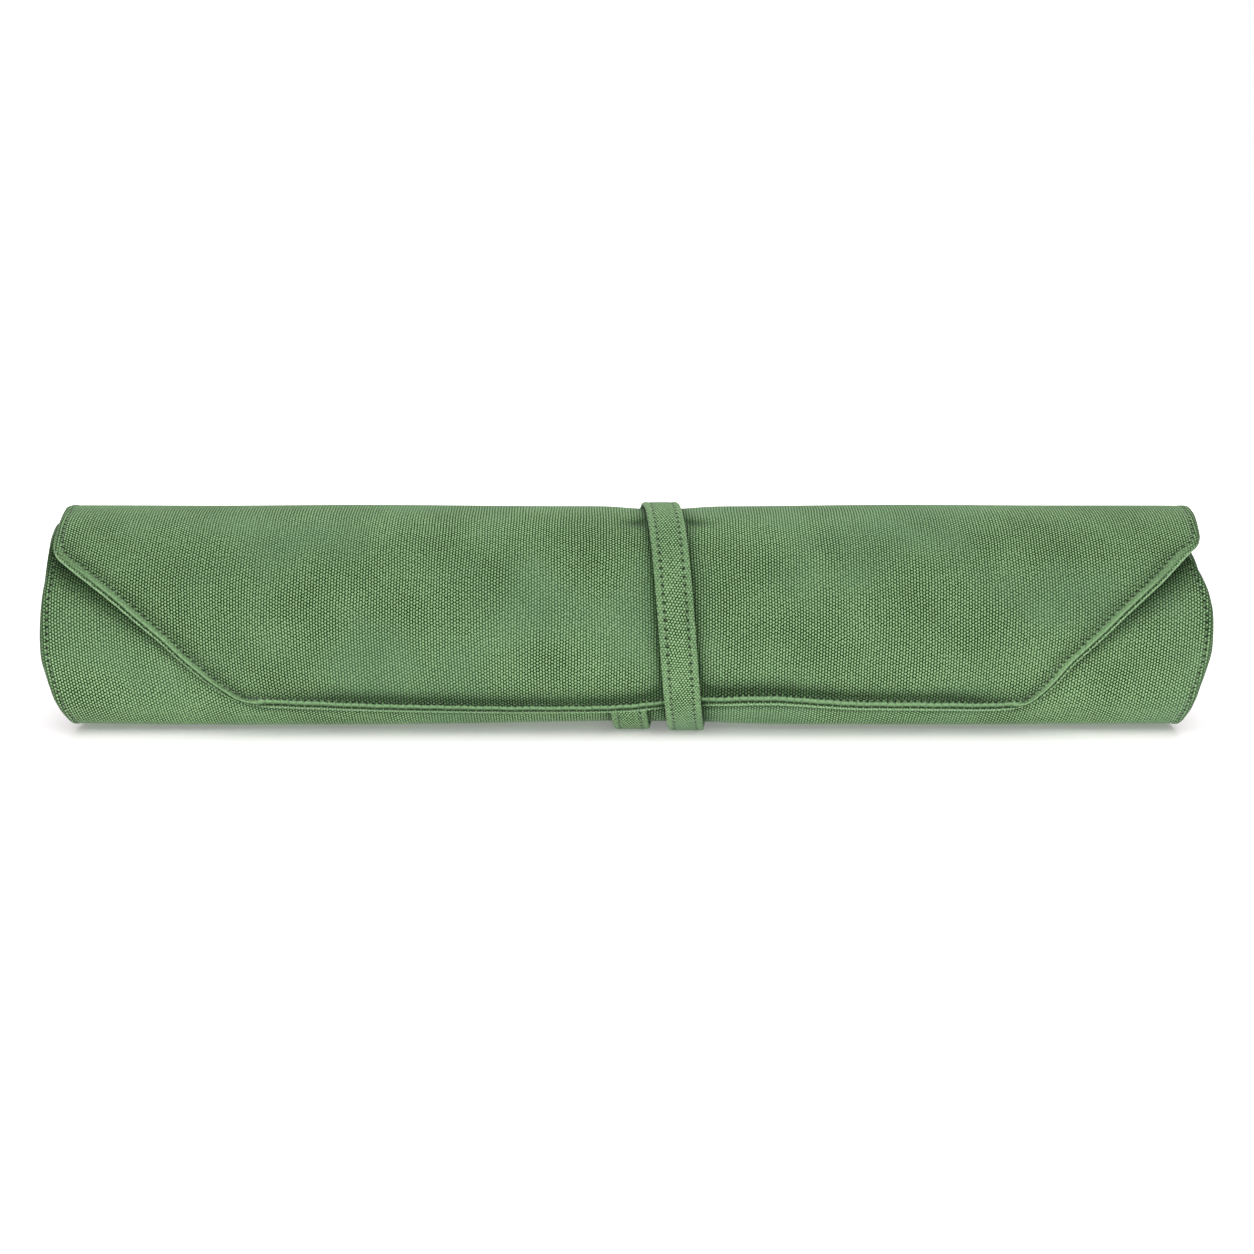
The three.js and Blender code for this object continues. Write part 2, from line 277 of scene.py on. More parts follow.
# %% Sizes of the sheet
ROLL_HALF = 230
OUTER_RADIUS = 45.6
COVER = 0.9
LINING = 0.5
LAYER_GAP = 0.25
HEM_DEPTH = COVER + LAYER_GAP + LINING
TURN_CLEARANCE = 0.55
TURN_PITCH = HEM_DEPTH + TURN_CLEARANCE
POCKET_DEPTH = 8
PANEL = 0.9
SEAM_GAP = 0.3
POCKET_PITCH = TURN_PITCH + SEAM_GAP + POCKET_DEPTH + PANEL
TURN = 360
BED_START = -115
BED_END = -65
FLAP_END = 228
WRAP_COUNT = 4
FLAP_COUNT = 2
WRAP_STEP = (FLAP_END - BED_END) / (WRAP_COUNT + FLAP_COUNT)
POCKET_COUNT = 8
POCKET_STEP = 72
SHEET_START = BED_START - POCKET_COUNT * POCKET_STEP


def ease(low, high, value):
    """A smooth step from 0 at low to 1 at high."""
    share = np.clip((value - low) / (high - low), 0, 1)
    return share * share * (3 - 2 * share)


def hump(value, middle, half_width):
    """A bell curve: 1 at the middle, and about a third at the half width."""
    return np.exp(-(((value - middle) / half_width) ** 2))


def smooth_path(value, stops, spread):
    """Straight runs between a few stops, rounded off by the mean over a window of that spread."""
    places, levels = np.array(stops, float).T
    window = np.linspace(-spread, spread, 9)
    return np.interp(np.asarray(value, float)[..., None] + window, places, levels).mean(axis=-1)


def roll_point(x, radius, angle):
    """A point of the roll in metres, from its place along X, its distance from the axis and its angle."""
    turn = np.radians(angle)
    parts = np.broadcast_arrays(x, radius * np.cos(turn), AXIS_HEIGHT + radius * np.sin(turn))
    return np.stack(parts, axis=-1) * MM


def spiral_radius(angle):
    """The spiral loses one cloth pitch a turn, and a pocket pitch a turn where the pockets are."""
    plain = OUTER_RADIUS - TURN_PITCH * (FLAP_END - np.maximum(angle, BED_START)) / TURN
    return plain - POCKET_PITCH * np.maximum(0, BED_START - angle) / TURN


print("cloth turns:", round((FLAP_END - SHEET_START) / TURN, 2))

# %% [markdown]
# ## Strap path
# The strap leaves the tip of the flap, goes under the roll, up its back, over its top and down its front,
# and ends under it. It moves along the roll as it goes round, so it is a helix. A curve with a bevel could
# draw it, but a formula also tells the cloth how deep the strap presses. It lies on the table where it
# passes under the roll, so no point of it may be lower than the table.

# %% Strap path
STRAP_WIDTH = 14.5
STRAP_THICKNESS = 2.2
STRAP_ROOT = 226
STRAP_START = FLAP_END
STRAP_END = 654
STRAP_COUNT = 8
STRAP_START_X = 0.4
STRAP_ADVANCE = 22.3
STRAP_RADII = (
    (STRAP_ROOT - 5, 43.1), (STRAP_ROOT + 1, 43.3), (231, 44.1), (237, 45.7), (246, 46.9), (256, 47.4),
    (290, 46.9), (370, 46.5), (455, 46.05), (540, 46.9), (574, 46.8), (594, 47.3), (616, 47.9),
    (STRAP_END, 47.2),
)
STRAP_ROUNDING = 4


def strap_x(angle):
    """The middle of the strap moves along the roll in step with its angle."""
    return STRAP_START_X + STRAP_ADVANCE * (angle - STRAP_START) / TURN


def strap_radius(angle):
    """The strap's outer face: a smooth path that is cut off where it would go under the table."""
    down = np.maximum(-np.sin(np.radians(angle)), 0.5)
    return np.minimum(smooth_path(angle, STRAP_RADII, STRAP_ROUNDING), AXIS_HEIGHT / down)


strap_angles = np.linspace(STRAP_ROOT, STRAP_END, 400)
strap_line = roll_point(strap_x(strap_angles), strap_radius(strap_angles), strap_angles)
strap_length = np.linalg.norm(np.diff(strap_line, axis=0), axis=1).sum()
print(f"strap {strap_length:.3f} m long")

# %% [markdown]
# ## How soft cloth leaves the spiral
# Real cloth isn't a perfect spiral. The turn under the flap swells until it nearly meets the flap, the
# bottom sags on both sides of the strap, the strap presses a valley with soft sides, and slow waves run
# along the sheet. Each of these is one small function of the angle and of the place along X, and the
# sheet's radius is their sum. A pair of numbers is where a smooth step starts and ends, or the middle and
# the half width of a hump. A cloth simulation could find such a shape too, but it would forget the hinge
# lines that the sheet has to bend on.

# %% Soft shape of the sheet
NESTING = 0.45
SHOULDER_GAP = 1.6
SHOULDER_RISE = (-185, -222)
POCKET_GAP = 1.3
FIRST_POCKET = (-151, 16)
SECOND_POCKET = (-224, 14)
SECOND_SHARE = 0.7
SWELL_START = (-118, -134)
SWELL_END = (-290, -225)
LOW_FRONT = (-108, 14)
BOTTOM = (-90, 9)
BOTTOM_DIP = 0.9
BOTTOM_FILL = 0.9
SIDE_FILL = 1.0
SIDE_FILL_RISE = (15, 70)
SIDE_FILL_FALL = (140, 215)
FAR_AWAY = 1000.0
PRESS_GAP = 0.1
VALLEY_REACH = 10
VALLEY_LEAST = 0.35
TOP_VALLEY = 0.85
TOP_OF_ROLL = (97, 28)
PINCH = 0.6
PINCH_ANGLE = 111
PINCH_LEAN = 0.25
PINCH_WIDTH = 4.5
PINCH_REACH = (3, 8)
WAVE = 0.16


def body_fill(angle):
    """The turn under the flap swells to lie just inside it. There is more room near the flap's shoulders, and
    at the middles of the first two pocket sections, which lie lowest in the opened roll."""
    room = NESTING + SHOULDER_GAP * ease(*SHOULDER_RISE, angle)
    room = room + POCKET_GAP * (hump(angle, *FIRST_POCKET) + SECOND_SHARE * hump(angle, *SECOND_POCKET))
    flap_inside = spiral_radius(angle + TURN) - HEM_DEPTH - room
    share = ease(*SWELL_START, angle) * ease(*SWELL_END, angle)
    return (flap_inside - spiral_radius(angle)) * share


def bottom_shape(angle, x):
    """A hump low at the front, fuller on both sides of the strap, less a dip at the very bottom."""
    aside = np.abs(x)
    fuller = SIDE_FILL * ease(*SIDE_FILL_RISE, aside) * (1 - 0.5 * ease(*SIDE_FILL_FALL, aside))
    return (BOTTOM_FILL + fuller) * hump(angle, *LOW_FRONT) - BOTTOM_DIP * hump(angle, *BOTTOM)


def waves(angle, x):
    """Three slow sine waves that cross at slants. They are the same on every turn, so turns lie close."""
    turn = np.radians(angle)
    first = np.sin(x / 31 + 3 * turn)
    second = np.sin(x / 53 - 2 * turn + 1.3)
    third = np.sin(x / 17 + 4 * turn + 2.1)
    return WAVE * (first + 1.2 * second + 0.5 * third)


def strap_over(angle, x):
    """For both times that the strap goes round: its angle over a place, how much of it lies there, from 0 to
    1, and how far beside it the place is. Only the outermost turn of the sheet has the strap over it."""
    outermost = ease(STRAP_ROOT - TURN - 5, STRAP_ROOT - TURN - 1, angle)
    for turns in (1, 2):
        above = angle + turns * TURN
        share = ease(STRAP_ROOT - 4, STRAP_ROOT + 3, above) * ease(STRAP_END + 5, STRAP_END - 2, above)
        beside = np.maximum(np.abs(x - strap_x(above)) - STRAP_WIDTH / 2, 0)
        yield above, share * outermost, beside


def beside_strap(angle, x):
    """Distance from the nearest edge of the strap, and how much strap lies there."""
    distance = np.full(np.broadcast(angle, x).shape, FAR_AWAY)
    cover = 0
    for _, share, beside in strap_over(angle, x):
        distance = np.where(share > 0.01, np.minimum(distance, beside), distance)
        cover = np.maximum(cover, share)
    return distance, cover


def strap_valley(angle, x, radius):
    """How far the strap presses the cloth in: down to its inner face, fading out to both sides."""
    depth = np.zeros(np.broadcast(angle, x).shape)
    least = VALLEY_LEAST + TOP_VALLEY * hump(angle, *TOP_OF_ROLL)
    for above, share, beside in strap_over(angle, x):
        needed = radius - (strap_radius(above) - STRAP_THICKNESS - PRESS_GAP)
        pressed = np.maximum(needed, least) * share * hump(beside, 0, VALLEY_REACH)
        depth = np.maximum(depth, pressed)
    return depth


def pinch(angle, x):
    """A short fold on both sides of the strap, high on the front, where the strap gathers the cloth."""
    distance, covered = beside_strap(angle, x)
    leaning = angle - PINCH_ANGLE - PINCH_LEAN * distance
    return covered * hump(leaning, 0, PINCH_WIDTH) * hump(distance, *PINCH_REACH)


def soft_radius(angle, x):
    """The sheet's outer face without its hems."""
    radius = spiral_radius(angle) + body_fill(angle) + bottom_shape(angle, x) + waves(angle, x)
    return radius - strap_valley(angle, x, radius) - PINCH * pinch(angle, x)


print("radius on top:", soft_radius(np.array(90.0), np.array(-100.0)).round(2))

# %% [markdown]
# ## Outline of the sheet
# The sheet's two long sides are straight until the flap, which tapers from its shoulders to its tip. The
# sides are half lengths at a few angles, and averaging rounds the shoulders as a sewn corner is rounded. A
# drawn curve could hold the outline too, but a function of the angle can be asked at any place. The tip
# isn't quite straight: the strap pulls one half of it further down than the other.

# %% Outline of the sheet
LEFT_SIDE = (
    (SHEET_START, 230), (-253, 230.5), (-209, 229.2), (-167, 230.8), (-140, 229.6), (-110, 227.3),
    (-65, 227.5), (20, 228.5), (92, 228.3), (108, 227.4), (134, 226.6), (139.4, 224.7), (148, 216.8),
    (164, 200.8), (183, 183.6), (207, 165.8), (221, 155), (245, 135),
)
RIGHT_SIDE = (
    (SHEET_START, 230), (-280, 228), (-236, 221.5), (-225, 222.7), (-215, 226), (-204, 228.3),
    (-192, 229.8), (-171, 230.2), (-150, 228.6), (-110, 226.2), (-65, 228), (92, 229), (103, 228.7),
    (126, 227.3), (132, 225.8), (136, 222.3), (152, 210.8), (170, 195.4), (195, 176), (223, 162), (245, 150),
)
SIDE_ROUNDING = 2.5
TIP_LINE = (
    (-150, 223.6), (-100, 228.4), (-45, 231), (-20, 231), (-6, 230.2), (13, 227.2), (30, 224.8), (46, 221.8),
    (60, 221.4), (75, 223.6), (90, 226), (147, 227.6), (160, 225),
)
TIP_ROUNDING = 6
TIP_REACH = 24


def side_half(angle, side):
    """Half of the sheet's length on its left or right side."""
    return smooth_path(angle, LEFT_SIDE if side < 0 else RIGHT_SIDE, SIDE_ROUNDING)


def edge_half(angle, x):
    """Half of the sheet's length on the side where a place lies."""
    return np.where(x < 0, side_half(angle, -1), side_half(angle, 1))


def tip_angle(x):
    """The angle at which the flap ends."""
    return smooth_path(x, TIP_LINE, TIP_ROUNDING)


def bend_to_tip(rows, x):
    """Near the flap's end the rows bend, so that the last of them follows the tip."""
    return rows + (tip_angle(x) - FLAP_END) * ease(FLAP_END - TIP_REACH, FLAP_END, rows)


print(f"tip {side_half(FLAP_END, -1) + side_half(FLAP_END, 1):.0f} mm long")

# %% [markdown]
# ## Lengths along the cloth
# Stitches and weave need lengths of cloth, not angles. A spiral's length has no short formula, so it is
# summed once in small steps and looked up. Low on the front the strap pulls the cloth, and its grains are
# longer there, so the weave has a length of its own.

# %% Lengths along the cloth
GRAIN_STRETCH = 0.5

length_angles = np.linspace(SHEET_START - 15, FLAP_END + 15, 6000)
length_steps = np.diff(length_angles) * np.radians(1) * spiral_radius(length_angles)[1:]
length_table = np.concatenate([[0], np.cumsum(length_steps)])
low_front = ease(188, 222, length_angles % TURN) * ease(262, 242, length_angles % TURN)
weave_table = np.concatenate([[0], np.cumsum(length_steps / (1 + GRAIN_STRETCH * low_front[1:]))])


def cloth_length(angle):
    """The length of cloth up to an angle: the spiral's radius summed over its turn."""
    return np.interp(angle, length_angles, length_table)


def weave_length(angle):
    """The length of cloth counted in grains: each step over the stretch that it has."""
    return np.interp(angle, length_angles, weave_table)


def side_slant(angle, side):
    """Length along a slanting side for each length of cloth."""
    rise = side_half(angle + 0.5, side) - side_half(angle - 0.5, side)
    return np.hypot(1, rise / (cloth_length(angle + 0.5) - cloth_length(angle - 0.5)))


side_runs = {
    side: np.concatenate([[0], np.cumsum(length_steps * side_slant(length_angles[1:], side))])
    for side in (-1, 1)
}


def side_run(angle, side):
    """Length along one side of the sheet, up to an angle."""
    return np.interp(angle, length_angles, side_runs[side])


print(f"sheet {2 * ROLL_HALF} mm by {cloth_length(FLAP_END) - cloth_length(SHEET_START):.0f} mm")

# %% [markdown]
# ## Hems
# Along every edge the canvas is folded in and sewn. What shows is a rounded edge, a fine seam just inside it
# where the facing meets, a plump band and the groove that a row of stitches pulls. At the tip the cloth dips
# before its hem, because the strap pulls the hem in. All of that depends only on how far a place is from the
# edge and how far along the edge it is. It could be sculpted, but as a formula it follows every edge alike.

# %% Hem relief
END_STITCH = 2.8
FLAP_STITCH = 4.3
TIP_STITCH = 6
EDGE_SEAM = 1.25
SHOULDER = 128
TIP_DIP = 0.5
TIP_LIFT = 0.25
LEAST_PULL = 0.15
MIDDLE_PULL = 0.65
RIGHT_PULL = 0.2
FOLD_LEFT = (-152, -100)
FOLD_RIGHT = (168, 125)
FOLD_FOOT = (4.8, 6.4)
FOLD_TOP = 7.5
FOLD_REACH = 6
BAND_HEIGHT = 0.18
SEAM_DEPTH = 0.12
FACED_SEAM_DEPTH = 0.2
GROOVE_DEPTH = 0.28
PUCKER = 0.1


def facing(angle):
    """1 along the flap, whose edge is faced with a second strip, and 0 along the rest of the sheet."""
    return ease(SHOULDER - 6, SHOULDER + 14, angle)


def piped(angle):
    """1 down the flap, where the facing's seam opens along the edge, and 0 up to its shoulders."""
    return ease(SHOULDER + 12, SHOULDER + 34, angle)


def at_tip(place):
    """1 along the tip, where the hem is narrow, and 0 along the sides."""
    return ease(14, 6, place.tip_gap) * ease(1, 9, place.side_gap)


def stitch_row(place):
    """How far the row of stitches is from the edge."""
    along_sides = END_STITCH + (FLAP_STITCH - END_STITCH) * facing(place.angle)
    return along_sides + (TIP_STITCH - along_sides) * at_tip(place)


def tip_fold(place):
    """How much a place lies in the fold over the tip's hem: steep at the hem, and fading upwards."""
    inside = ease(*FOLD_LEFT, place.x) * ease(*FOLD_RIGHT, place.x)
    pull = LEAST_PULL + (MIDDLE_PULL + RIGHT_PULL * ease(-10, 25, place.x)) * inside
    past = np.maximum(place.tip_gap - FOLD_TOP, 0)
    return pull * ease(*FOLD_FOOT, place.tip_gap) * hump(past, 0, FOLD_REACH)


def hem_relief(place):
    """Height over the soft sheet: a plump band, less the edge seam, the stitch groove and the tip's fold."""
    row_gap = place.gap - stitch_row(place)
    band = BAND_HEIGHT * ease(0, 1.2, place.gap) * ease(1, -1, row_gap)
    seam = (SEAM_DEPTH + FACED_SEAM_DEPTH * facing(place.angle)) * hump(place.gap, EDGE_SEAM, 0.35)
    groove = GROOVE_DEPTH * hump(row_gap, 0, 0.6)
    pucker = PUCKER * hump(row_gap, -1, 3.2) * np.sin(place.run / 1.9 + 2 * np.sin(place.run / 13))
    lift = TIP_LIFT * hump(place.tip_gap, 0, 3)
    return band - seam - groove + pucker - TIP_DIP * tip_fold(place) + lift


def cover_radius(place):
    """The canvas's outer face. The turn under the flap's tip dips with it."""
    tip_gap = cloth_length(tip_angle(place.x)) - cloth_length(place.angle + TURN)
    under_tip = tip_fold(SimpleNamespace(x=place.x, tip_gap=tip_gap))
    return soft_radius(place.angle, place.x) + hem_relief(place) - TIP_DIP * under_tip


def edge_inset(gap, thickness):
    """How much a rounded edge has fallen away at a distance from it: three quarters of the drop of a circle
    whose radius is half the thickness."""
    half = thickness / 2
    inside = np.clip(half - gap, 0, half)
    return 0.75 * (half - np.sqrt(half**2 - inside**2))


print("groove of the stitches at", END_STITCH, FLAP_STITCH, TIP_STITCH, "mm from the edges")

# %% [markdown]
# ## Painted shade in the creases
# Shade falls in the folds: over the tip's hem, beside the strap, and where the flap's edge lies on the turn
# below it, and the flap is darker low down towards its tip. A fold of half a millimetre gives too little
# shade of its own, so each place also gets a mark of painted shade that the material darkens by. It could be
# painted by hand, but a formula stays with the fold.

# %% Painted shade in the creases
# Strengths and reaches of the painted shade and the painted shadows.
HIDDEN_BELOW_TIP = 4.6
PAST_TIP = 14
STRAP_SHADOW_LINE = 0.55
STRAP_SHADE = 0.5
UNDER_FLAP_SHADOW = 0.9
UNDER_TIP_SHADOW = 0.6
ALONG_HEM_SHADE = 0.4
PINCH_SHADE = 0.8
LOW_FLAP_SHADE = 0.24
LOW_FLAP_SHADE_LESS = 0.2


def painted_shade_in_folds(place):
    """Painted shade from 0 to 1: shade in the flap's folds and low on it, shadow beside the strap and under
    the flap's edge and tip.
    """
    distance, covered = beside_strap(place.angle, place.x)
    strap_shadow = covered * (STRAP_SHADOW_LINE * hump(distance, 0, 1.4) + STRAP_SHADE * hump(distance, 0, 4.5))
    above = np.minimum(place.angle + TURN, FLAP_END + PAST_TIP)
    slant = np.where(place.x < 0, side_slant(above, -1), side_slant(above, 1))
    outside = (np.abs(place.x) - edge_half(above, place.x)) / slant
    under = ease(FLAP_END + 2, FLAP_END - 12, above) * ease(SHOULDER - 8, SHOULDER + 2, above)
    reach = 3 + 5 * ease(200, 140, above)
    under_flap_shadow = UNDER_FLAP_SHADOW * under * hump(np.maximum(outside, 0), 0, reach)
    below = cloth_length(above) - cloth_length(tip_angle(place.x))
    past_hem = np.maximum(below - HIDDEN_BELOW_TIP, 0)
    # Painted shadow on the turn just below the tip's hem.
    under_tip = UNDER_TIP_SHADOW * ease(-4, 0, -outside) * ease(-1.5, 0, below) * hump(past_hem, 0, 1.6)
    along_hem_shade = ALONG_HEM_SHADE * facing(place.angle) * hump(place.gap, FLAP_STITCH + 1.6, 2.4)
    pinch_shading = PINCH_SHADE * pinch(place.angle, place.x)
    # Painted shade: the flap darker low down, towards its tip.
    low_flap_shade = (LOW_FLAP_SHADE - LOW_FLAP_SHADE_LESS * ease(10, 60, place.x)) * hump(place.tip_gap, 0, 26)
    flap_shade = tip_fold(place) + low_flap_shade + along_hem_shade
    return np.clip(flap_shade + strap_shadow + under_flap_shadow + under_tip + pinch_shading, 0, 1)


print("creases ready")

# %% [markdown]
# ## Places on the sheet
# The sheet is a grid. Its rows run along the roll, and its columns stand close together in the hems and
# under the strap, where the shape changes quickly. An even grid would do as well, but with many times the
# faces. Both corners of the tip are rounded by pulling the square of the grid there into a quarter disc.

# %% Places on the sheet
HEM_COLUMNS = np.array(
    [0, 0.15, 0.4, 0.8, 1.25, 1.7, 2.3, 2.8, 3.2, 3.6, 3.9, 4.3, 4.7, 5.3, 6.5, 8.5, 12, 12.4, 17]
)
CORNER = 7


def close_columns(count):
    """Shares across the sheet, three times as close where the strap lies: density summed and inverted."""
    places = np.linspace(0, 1, 1000)
    density = 1 + 2 * ease(0.41, 0.45, places) * ease(0.65, 0.61, places)
    return np.interp(np.arange(1, count + 1) / (count + 1), np.cumsum(density) / density.sum(), places)


def round_corner(side_gap, tip_gap):
    """Pulls the square at a corner of the tip into a quarter disc: each part times the root of one less half
    of the other part squared. Gives the new distances from side and tip, and that from the rounded edge."""
    aside = np.clip(1 - side_gap / CORNER, 0, 1)
    above = np.clip(1 - tip_gap / CORNER, 0, 1)
    new_side = side_gap + CORNER * aside * (1 - np.sqrt(1 - above**2 / 2))
    new_tip = tip_gap + CORNER * above * (1 - np.sqrt(1 - aside**2 / 2))
    rounded = CORNER * (1 - np.sqrt(aside**2 + above**2 - (aside * above) ** 2))
    return new_side, new_tip, np.where(rounded < CORNER, rounded, np.minimum(side_gap, tip_gap))


def sheet_places(rows, middle_count):
    """A grid over the sheet: rows are angles, and columns run across, close together in the hems. Each place
    has its angle and x, its distances to the nearest edge, tip and side, and its run along that edge."""
    ends = {side: bend_to_tip(rows, side * side_half(rows, side)) for side in (-1, 1)}
    left, right = (side_half(ends[side], side)[:, None] for side in (-1, 1))
    left_slant, right_slant = (side_slant(ends[side], side)[:, None] for side in (-1, 1))
    near_left = -left + HEM_COLUMNS * left_slant
    near_right = right - HEM_COLUMNS[::-1] * right_slant
    share = close_columns(middle_count)
    middle = near_left[:, -1:] * (1 - share) + near_right[:, :1] * share
    x = np.hstack([near_left, middle, near_right])
    angle = bend_to_tip(rows[:, None], x)
    side_gap = np.minimum((x + left) / left_slant, (right - x) / right_slant)
    tip_gap = cloth_length(tip_angle(x)) - cloth_length(angle)
    start_gap = cloth_length(angle) - cloth_length(SHEET_START)
    new_side, new_tip, gap = round_corner(side_gap, tip_gap)
    back = angle - np.degrees((new_tip - tip_gap) / spiral_radius(angle))
    inward = (new_side - side_gap) * np.where(x < 0, left_slant, right_slant)
    x = np.sign(x) * (np.abs(x) - inward + edge_half(back, x) - edge_half(angle, x))
    angle, side_gap, tip_gap = back, new_side, new_tip
    run = np.where(x < 0, side_run(angle, -1), side_run(angle, 1))
    run = np.where(np.minimum(tip_gap, start_gap) < side_gap, x, run)
    gap = np.minimum(gap, start_gap)
    return SimpleNamespace(
        angle=angle, x=x, gap=np.maximum(gap, 0), run=run, tip_gap=tip_gap, side_gap=side_gap
    )


print("hem columns on each side:", len(HEM_COLUMNS))

# %% [markdown]
# ## From grids to meshes
# A sheet of cloth is two grids of points, its outer and its inner face, joined all round by a rim, so its
# mesh is closed. A Solidify modifier could thicken one grid, but a hem is thicker than the cloth beside it.
# The normals come from grids that reach one row past each cut, so neighbours shade alike. A UV map in metres
# of cloth carries the weave. Five marks tell the material how far a place is from the edge and from the row
# of stitches, how far along the edge it is, how much painted shade it gets, and how its edge is faced.


# %% Mesh from two grids
def shell_faces(row_count, column_count):
    """Quads of the outer grid, of the inner grid turned over, and of the rim between them."""
    index = np.arange(row_count * column_count).reshape(row_count, column_count)
    corners = (index[:-1, :-1], index[1:, :-1], index[1:, 1:], index[:-1, 1:])
    outer = np.stack(corners, axis=-1).reshape(-1, 4)
    inner = outer[:, ::-1] + index.size
    ring = np.concatenate([index[:, 0], index[-1, 1:], index[-2::-1, -1], index[0, -2:0:-1]])
    after = np.roll(ring, -1)
    rim = np.stack([after, ring, ring + index.size, after + index.size], axis=-1)
    return outer, inner, rim


def grid_normals(points):
    """The direction across both the rows and the columns of a grid, pointing out of the roll."""
    normal = np.cross(np.gradient(points, axis=0), np.gradient(points, axis=1))
    return normal / np.linalg.norm(normal, axis=-1, keepdims=True)


def with_neighbours(rows, is_first, is_last):
    """One more row where the cloth goes on past a cut, and the slice that leaves those rows out again."""
    before = [] if is_first else [2 * rows[0] - rows[1]]
    after = [] if is_last else [2 * rows[-1] - rows[-2]]
    return np.concatenate([before, rows, after]), slice(len(before), len(before) + len(rows))


def shell_object(name, outer, inner, uv, marks, material, keep=slice(None)):
    """A closed cloth mesh of the rows to keep. Its normals come from all rows, so that cuts don't show, and
    only its outer face gets the painted shade."""
    sides = [grid_normals(outer)[keep].reshape(-1, 3), -grid_normals(inner)[keep].reshape(-1, 3)]
    points = np.vstack([outer[keep].reshape(-1, 3), inner[keep].reshape(-1, 3)])
    outer_faces, inner_faces, rim_faces = shell_faces(*outer[keep].shape[:2])
    faces = np.vstack([outer_faces, inner_faces, rim_faces])
    broad = len(outer_faces) + len(inner_faces)
    mesh = bpy.data.meshes.new(name)
    mesh.from_pydata(points, [], faces.tolist())
    mesh.polygons.foreach_set("use_smooth", np.arange(len(faces)) < broad)
    corner_uv = np.tile(uv[keep].reshape(-1, 2), (2, 1))[faces.ravel()].astype(np.float32)
    mesh.uv_layers.new(name="cloth").data.foreach_set("uv", corner_uv.ravel())
    for attribute, values in marks.items():
        one = values[keep].ravel()
        both = np.concatenate([one, one * (attribute != "painted_shade")]).astype(np.float32)
        mesh.attributes.new(attribute, "FLOAT", "POINT").data.foreach_set("value", both)
    normals = np.vstack(sides)[faces]
    normals[broad:] = 0
    mesh.normals_split_custom_set(normals.reshape(-1, 3).tolist())
    mesh.materials.append(material)
    made = bpy.data.objects.new(name, mesh)
    bpy.context.scene.collection.objects.link(made)
    return made


MARKS = ("edge_gap", "row_gap", "edge_run", "painted_shade", "edging")


def cloth_marks(gap, row_gap, run, painted_shade=0, edging=0):
    """What the material needs to know about a place: three lengths in millimetres, the painted shade from 0
    to 1, and the edging, which is 1 where the edge is faced and 2 where the facing's seam opens."""
    return dict(zip(MARKS, np.broadcast_arrays(gap, row_gap, run, painted_shade, edging)))


print("faces of a 3 by 3 shell:", sum(len(part) for part in shell_faces(3, 3)))

# %% [markdown]
# ## Canvas
# The cloth is a heavy canvas: fat warp yarns lie side by side, and the weft shows only as a dent between
# their grains, which are staggered from yarn to yarn. So the height is a rib for each yarn plus a wave along
# it that changes sign from one yarn to the next. Slow noise bends the yarns. A picture of canvas could be
# used, but it would repeat, and it couldn't follow the cloth round the roll.

# %% Weave and needle holes
YARN_WANDER = 0.7 * MM


def cloth_weave(uv, yarn_pitch, grain_pitch):
    """Half, plus a fifth of a rib across each yarn, plus a third of its staggered grains: from 0 to 1."""
    far = uv.node("ShaderNodeMapping", None, {"Vector": uv, "Location": (3.7, 1.9, 0)})
    across = uv.node("ShaderNodeSeparateXYZ", None, {0: uv}, output=0)
    along = uv.node("ShaderNodeSeparateXYZ", None, {0: uv}, output=1)
    bent = across + (uv.noise(32) - 0.5) * (3 * YARN_WANDER)
    picked = along + (far.noise(26) - 0.5) * (4 * YARN_WANDER)
    rib = (bent * (2 * math.pi / yarn_pitch)).math("COSINE")
    yarn = (bent * (math.pi / yarn_pitch)).math("COSINE")
    grain = (picked * (2 * math.pi / grain_pitch)).math("COSINE")
    return 0.5 + 0.19 * rib + 0.31 * (yarn * grain)


def needle_holes(row_gap, run, pitch):
    """Dark dots on the row of stitches, one for every pitch along the edge."""
    beside = ((run / pitch).math("FRACT") - 0.5).math("ABSOLUTE") * pitch
    away = (row_gap * row_gap + beside * beside).math("SQRT")
    return 1 - away.step(0.35, 0.85)


print("yarns wander by", YARN_WANDER, "m")

# %% [markdown]
# ## Finish of the canvas
# The dents of the weave are darker than its grains, the dye is cloudy, and short fibres give a soft sheen.
# What follows an edge is placed by the marks: the pale rubbed fold, partly a painted highlight, the dark seam
# with a painted highlight on the line of facing beside it, the smooth strip of the hem, painted shade along
# the unfaced edges, the needle holes and the painted shade of the creases. Each of them is one mix of the
# colour so far with a shade of the cloth's own tone, so that a new tone recolours all of it.

# %% Canvas material
CANVAS_TONE = (0.138, 0.247, 0.114)
CANVAS_YARNS = (1.12 * MM, 1.28 * MM)
WEAVE_DEPTH = 0.35 * MM
STITCH_PITCH = 2.7
DASH_PITCH = 3.1
SHEEN = 0.35
SHEEN_ROUGHNESS = 0.3
SHEEN_TINT = (0.75, 0.95, 0.7, 1)
CLOTH_SPECULAR = 0.1


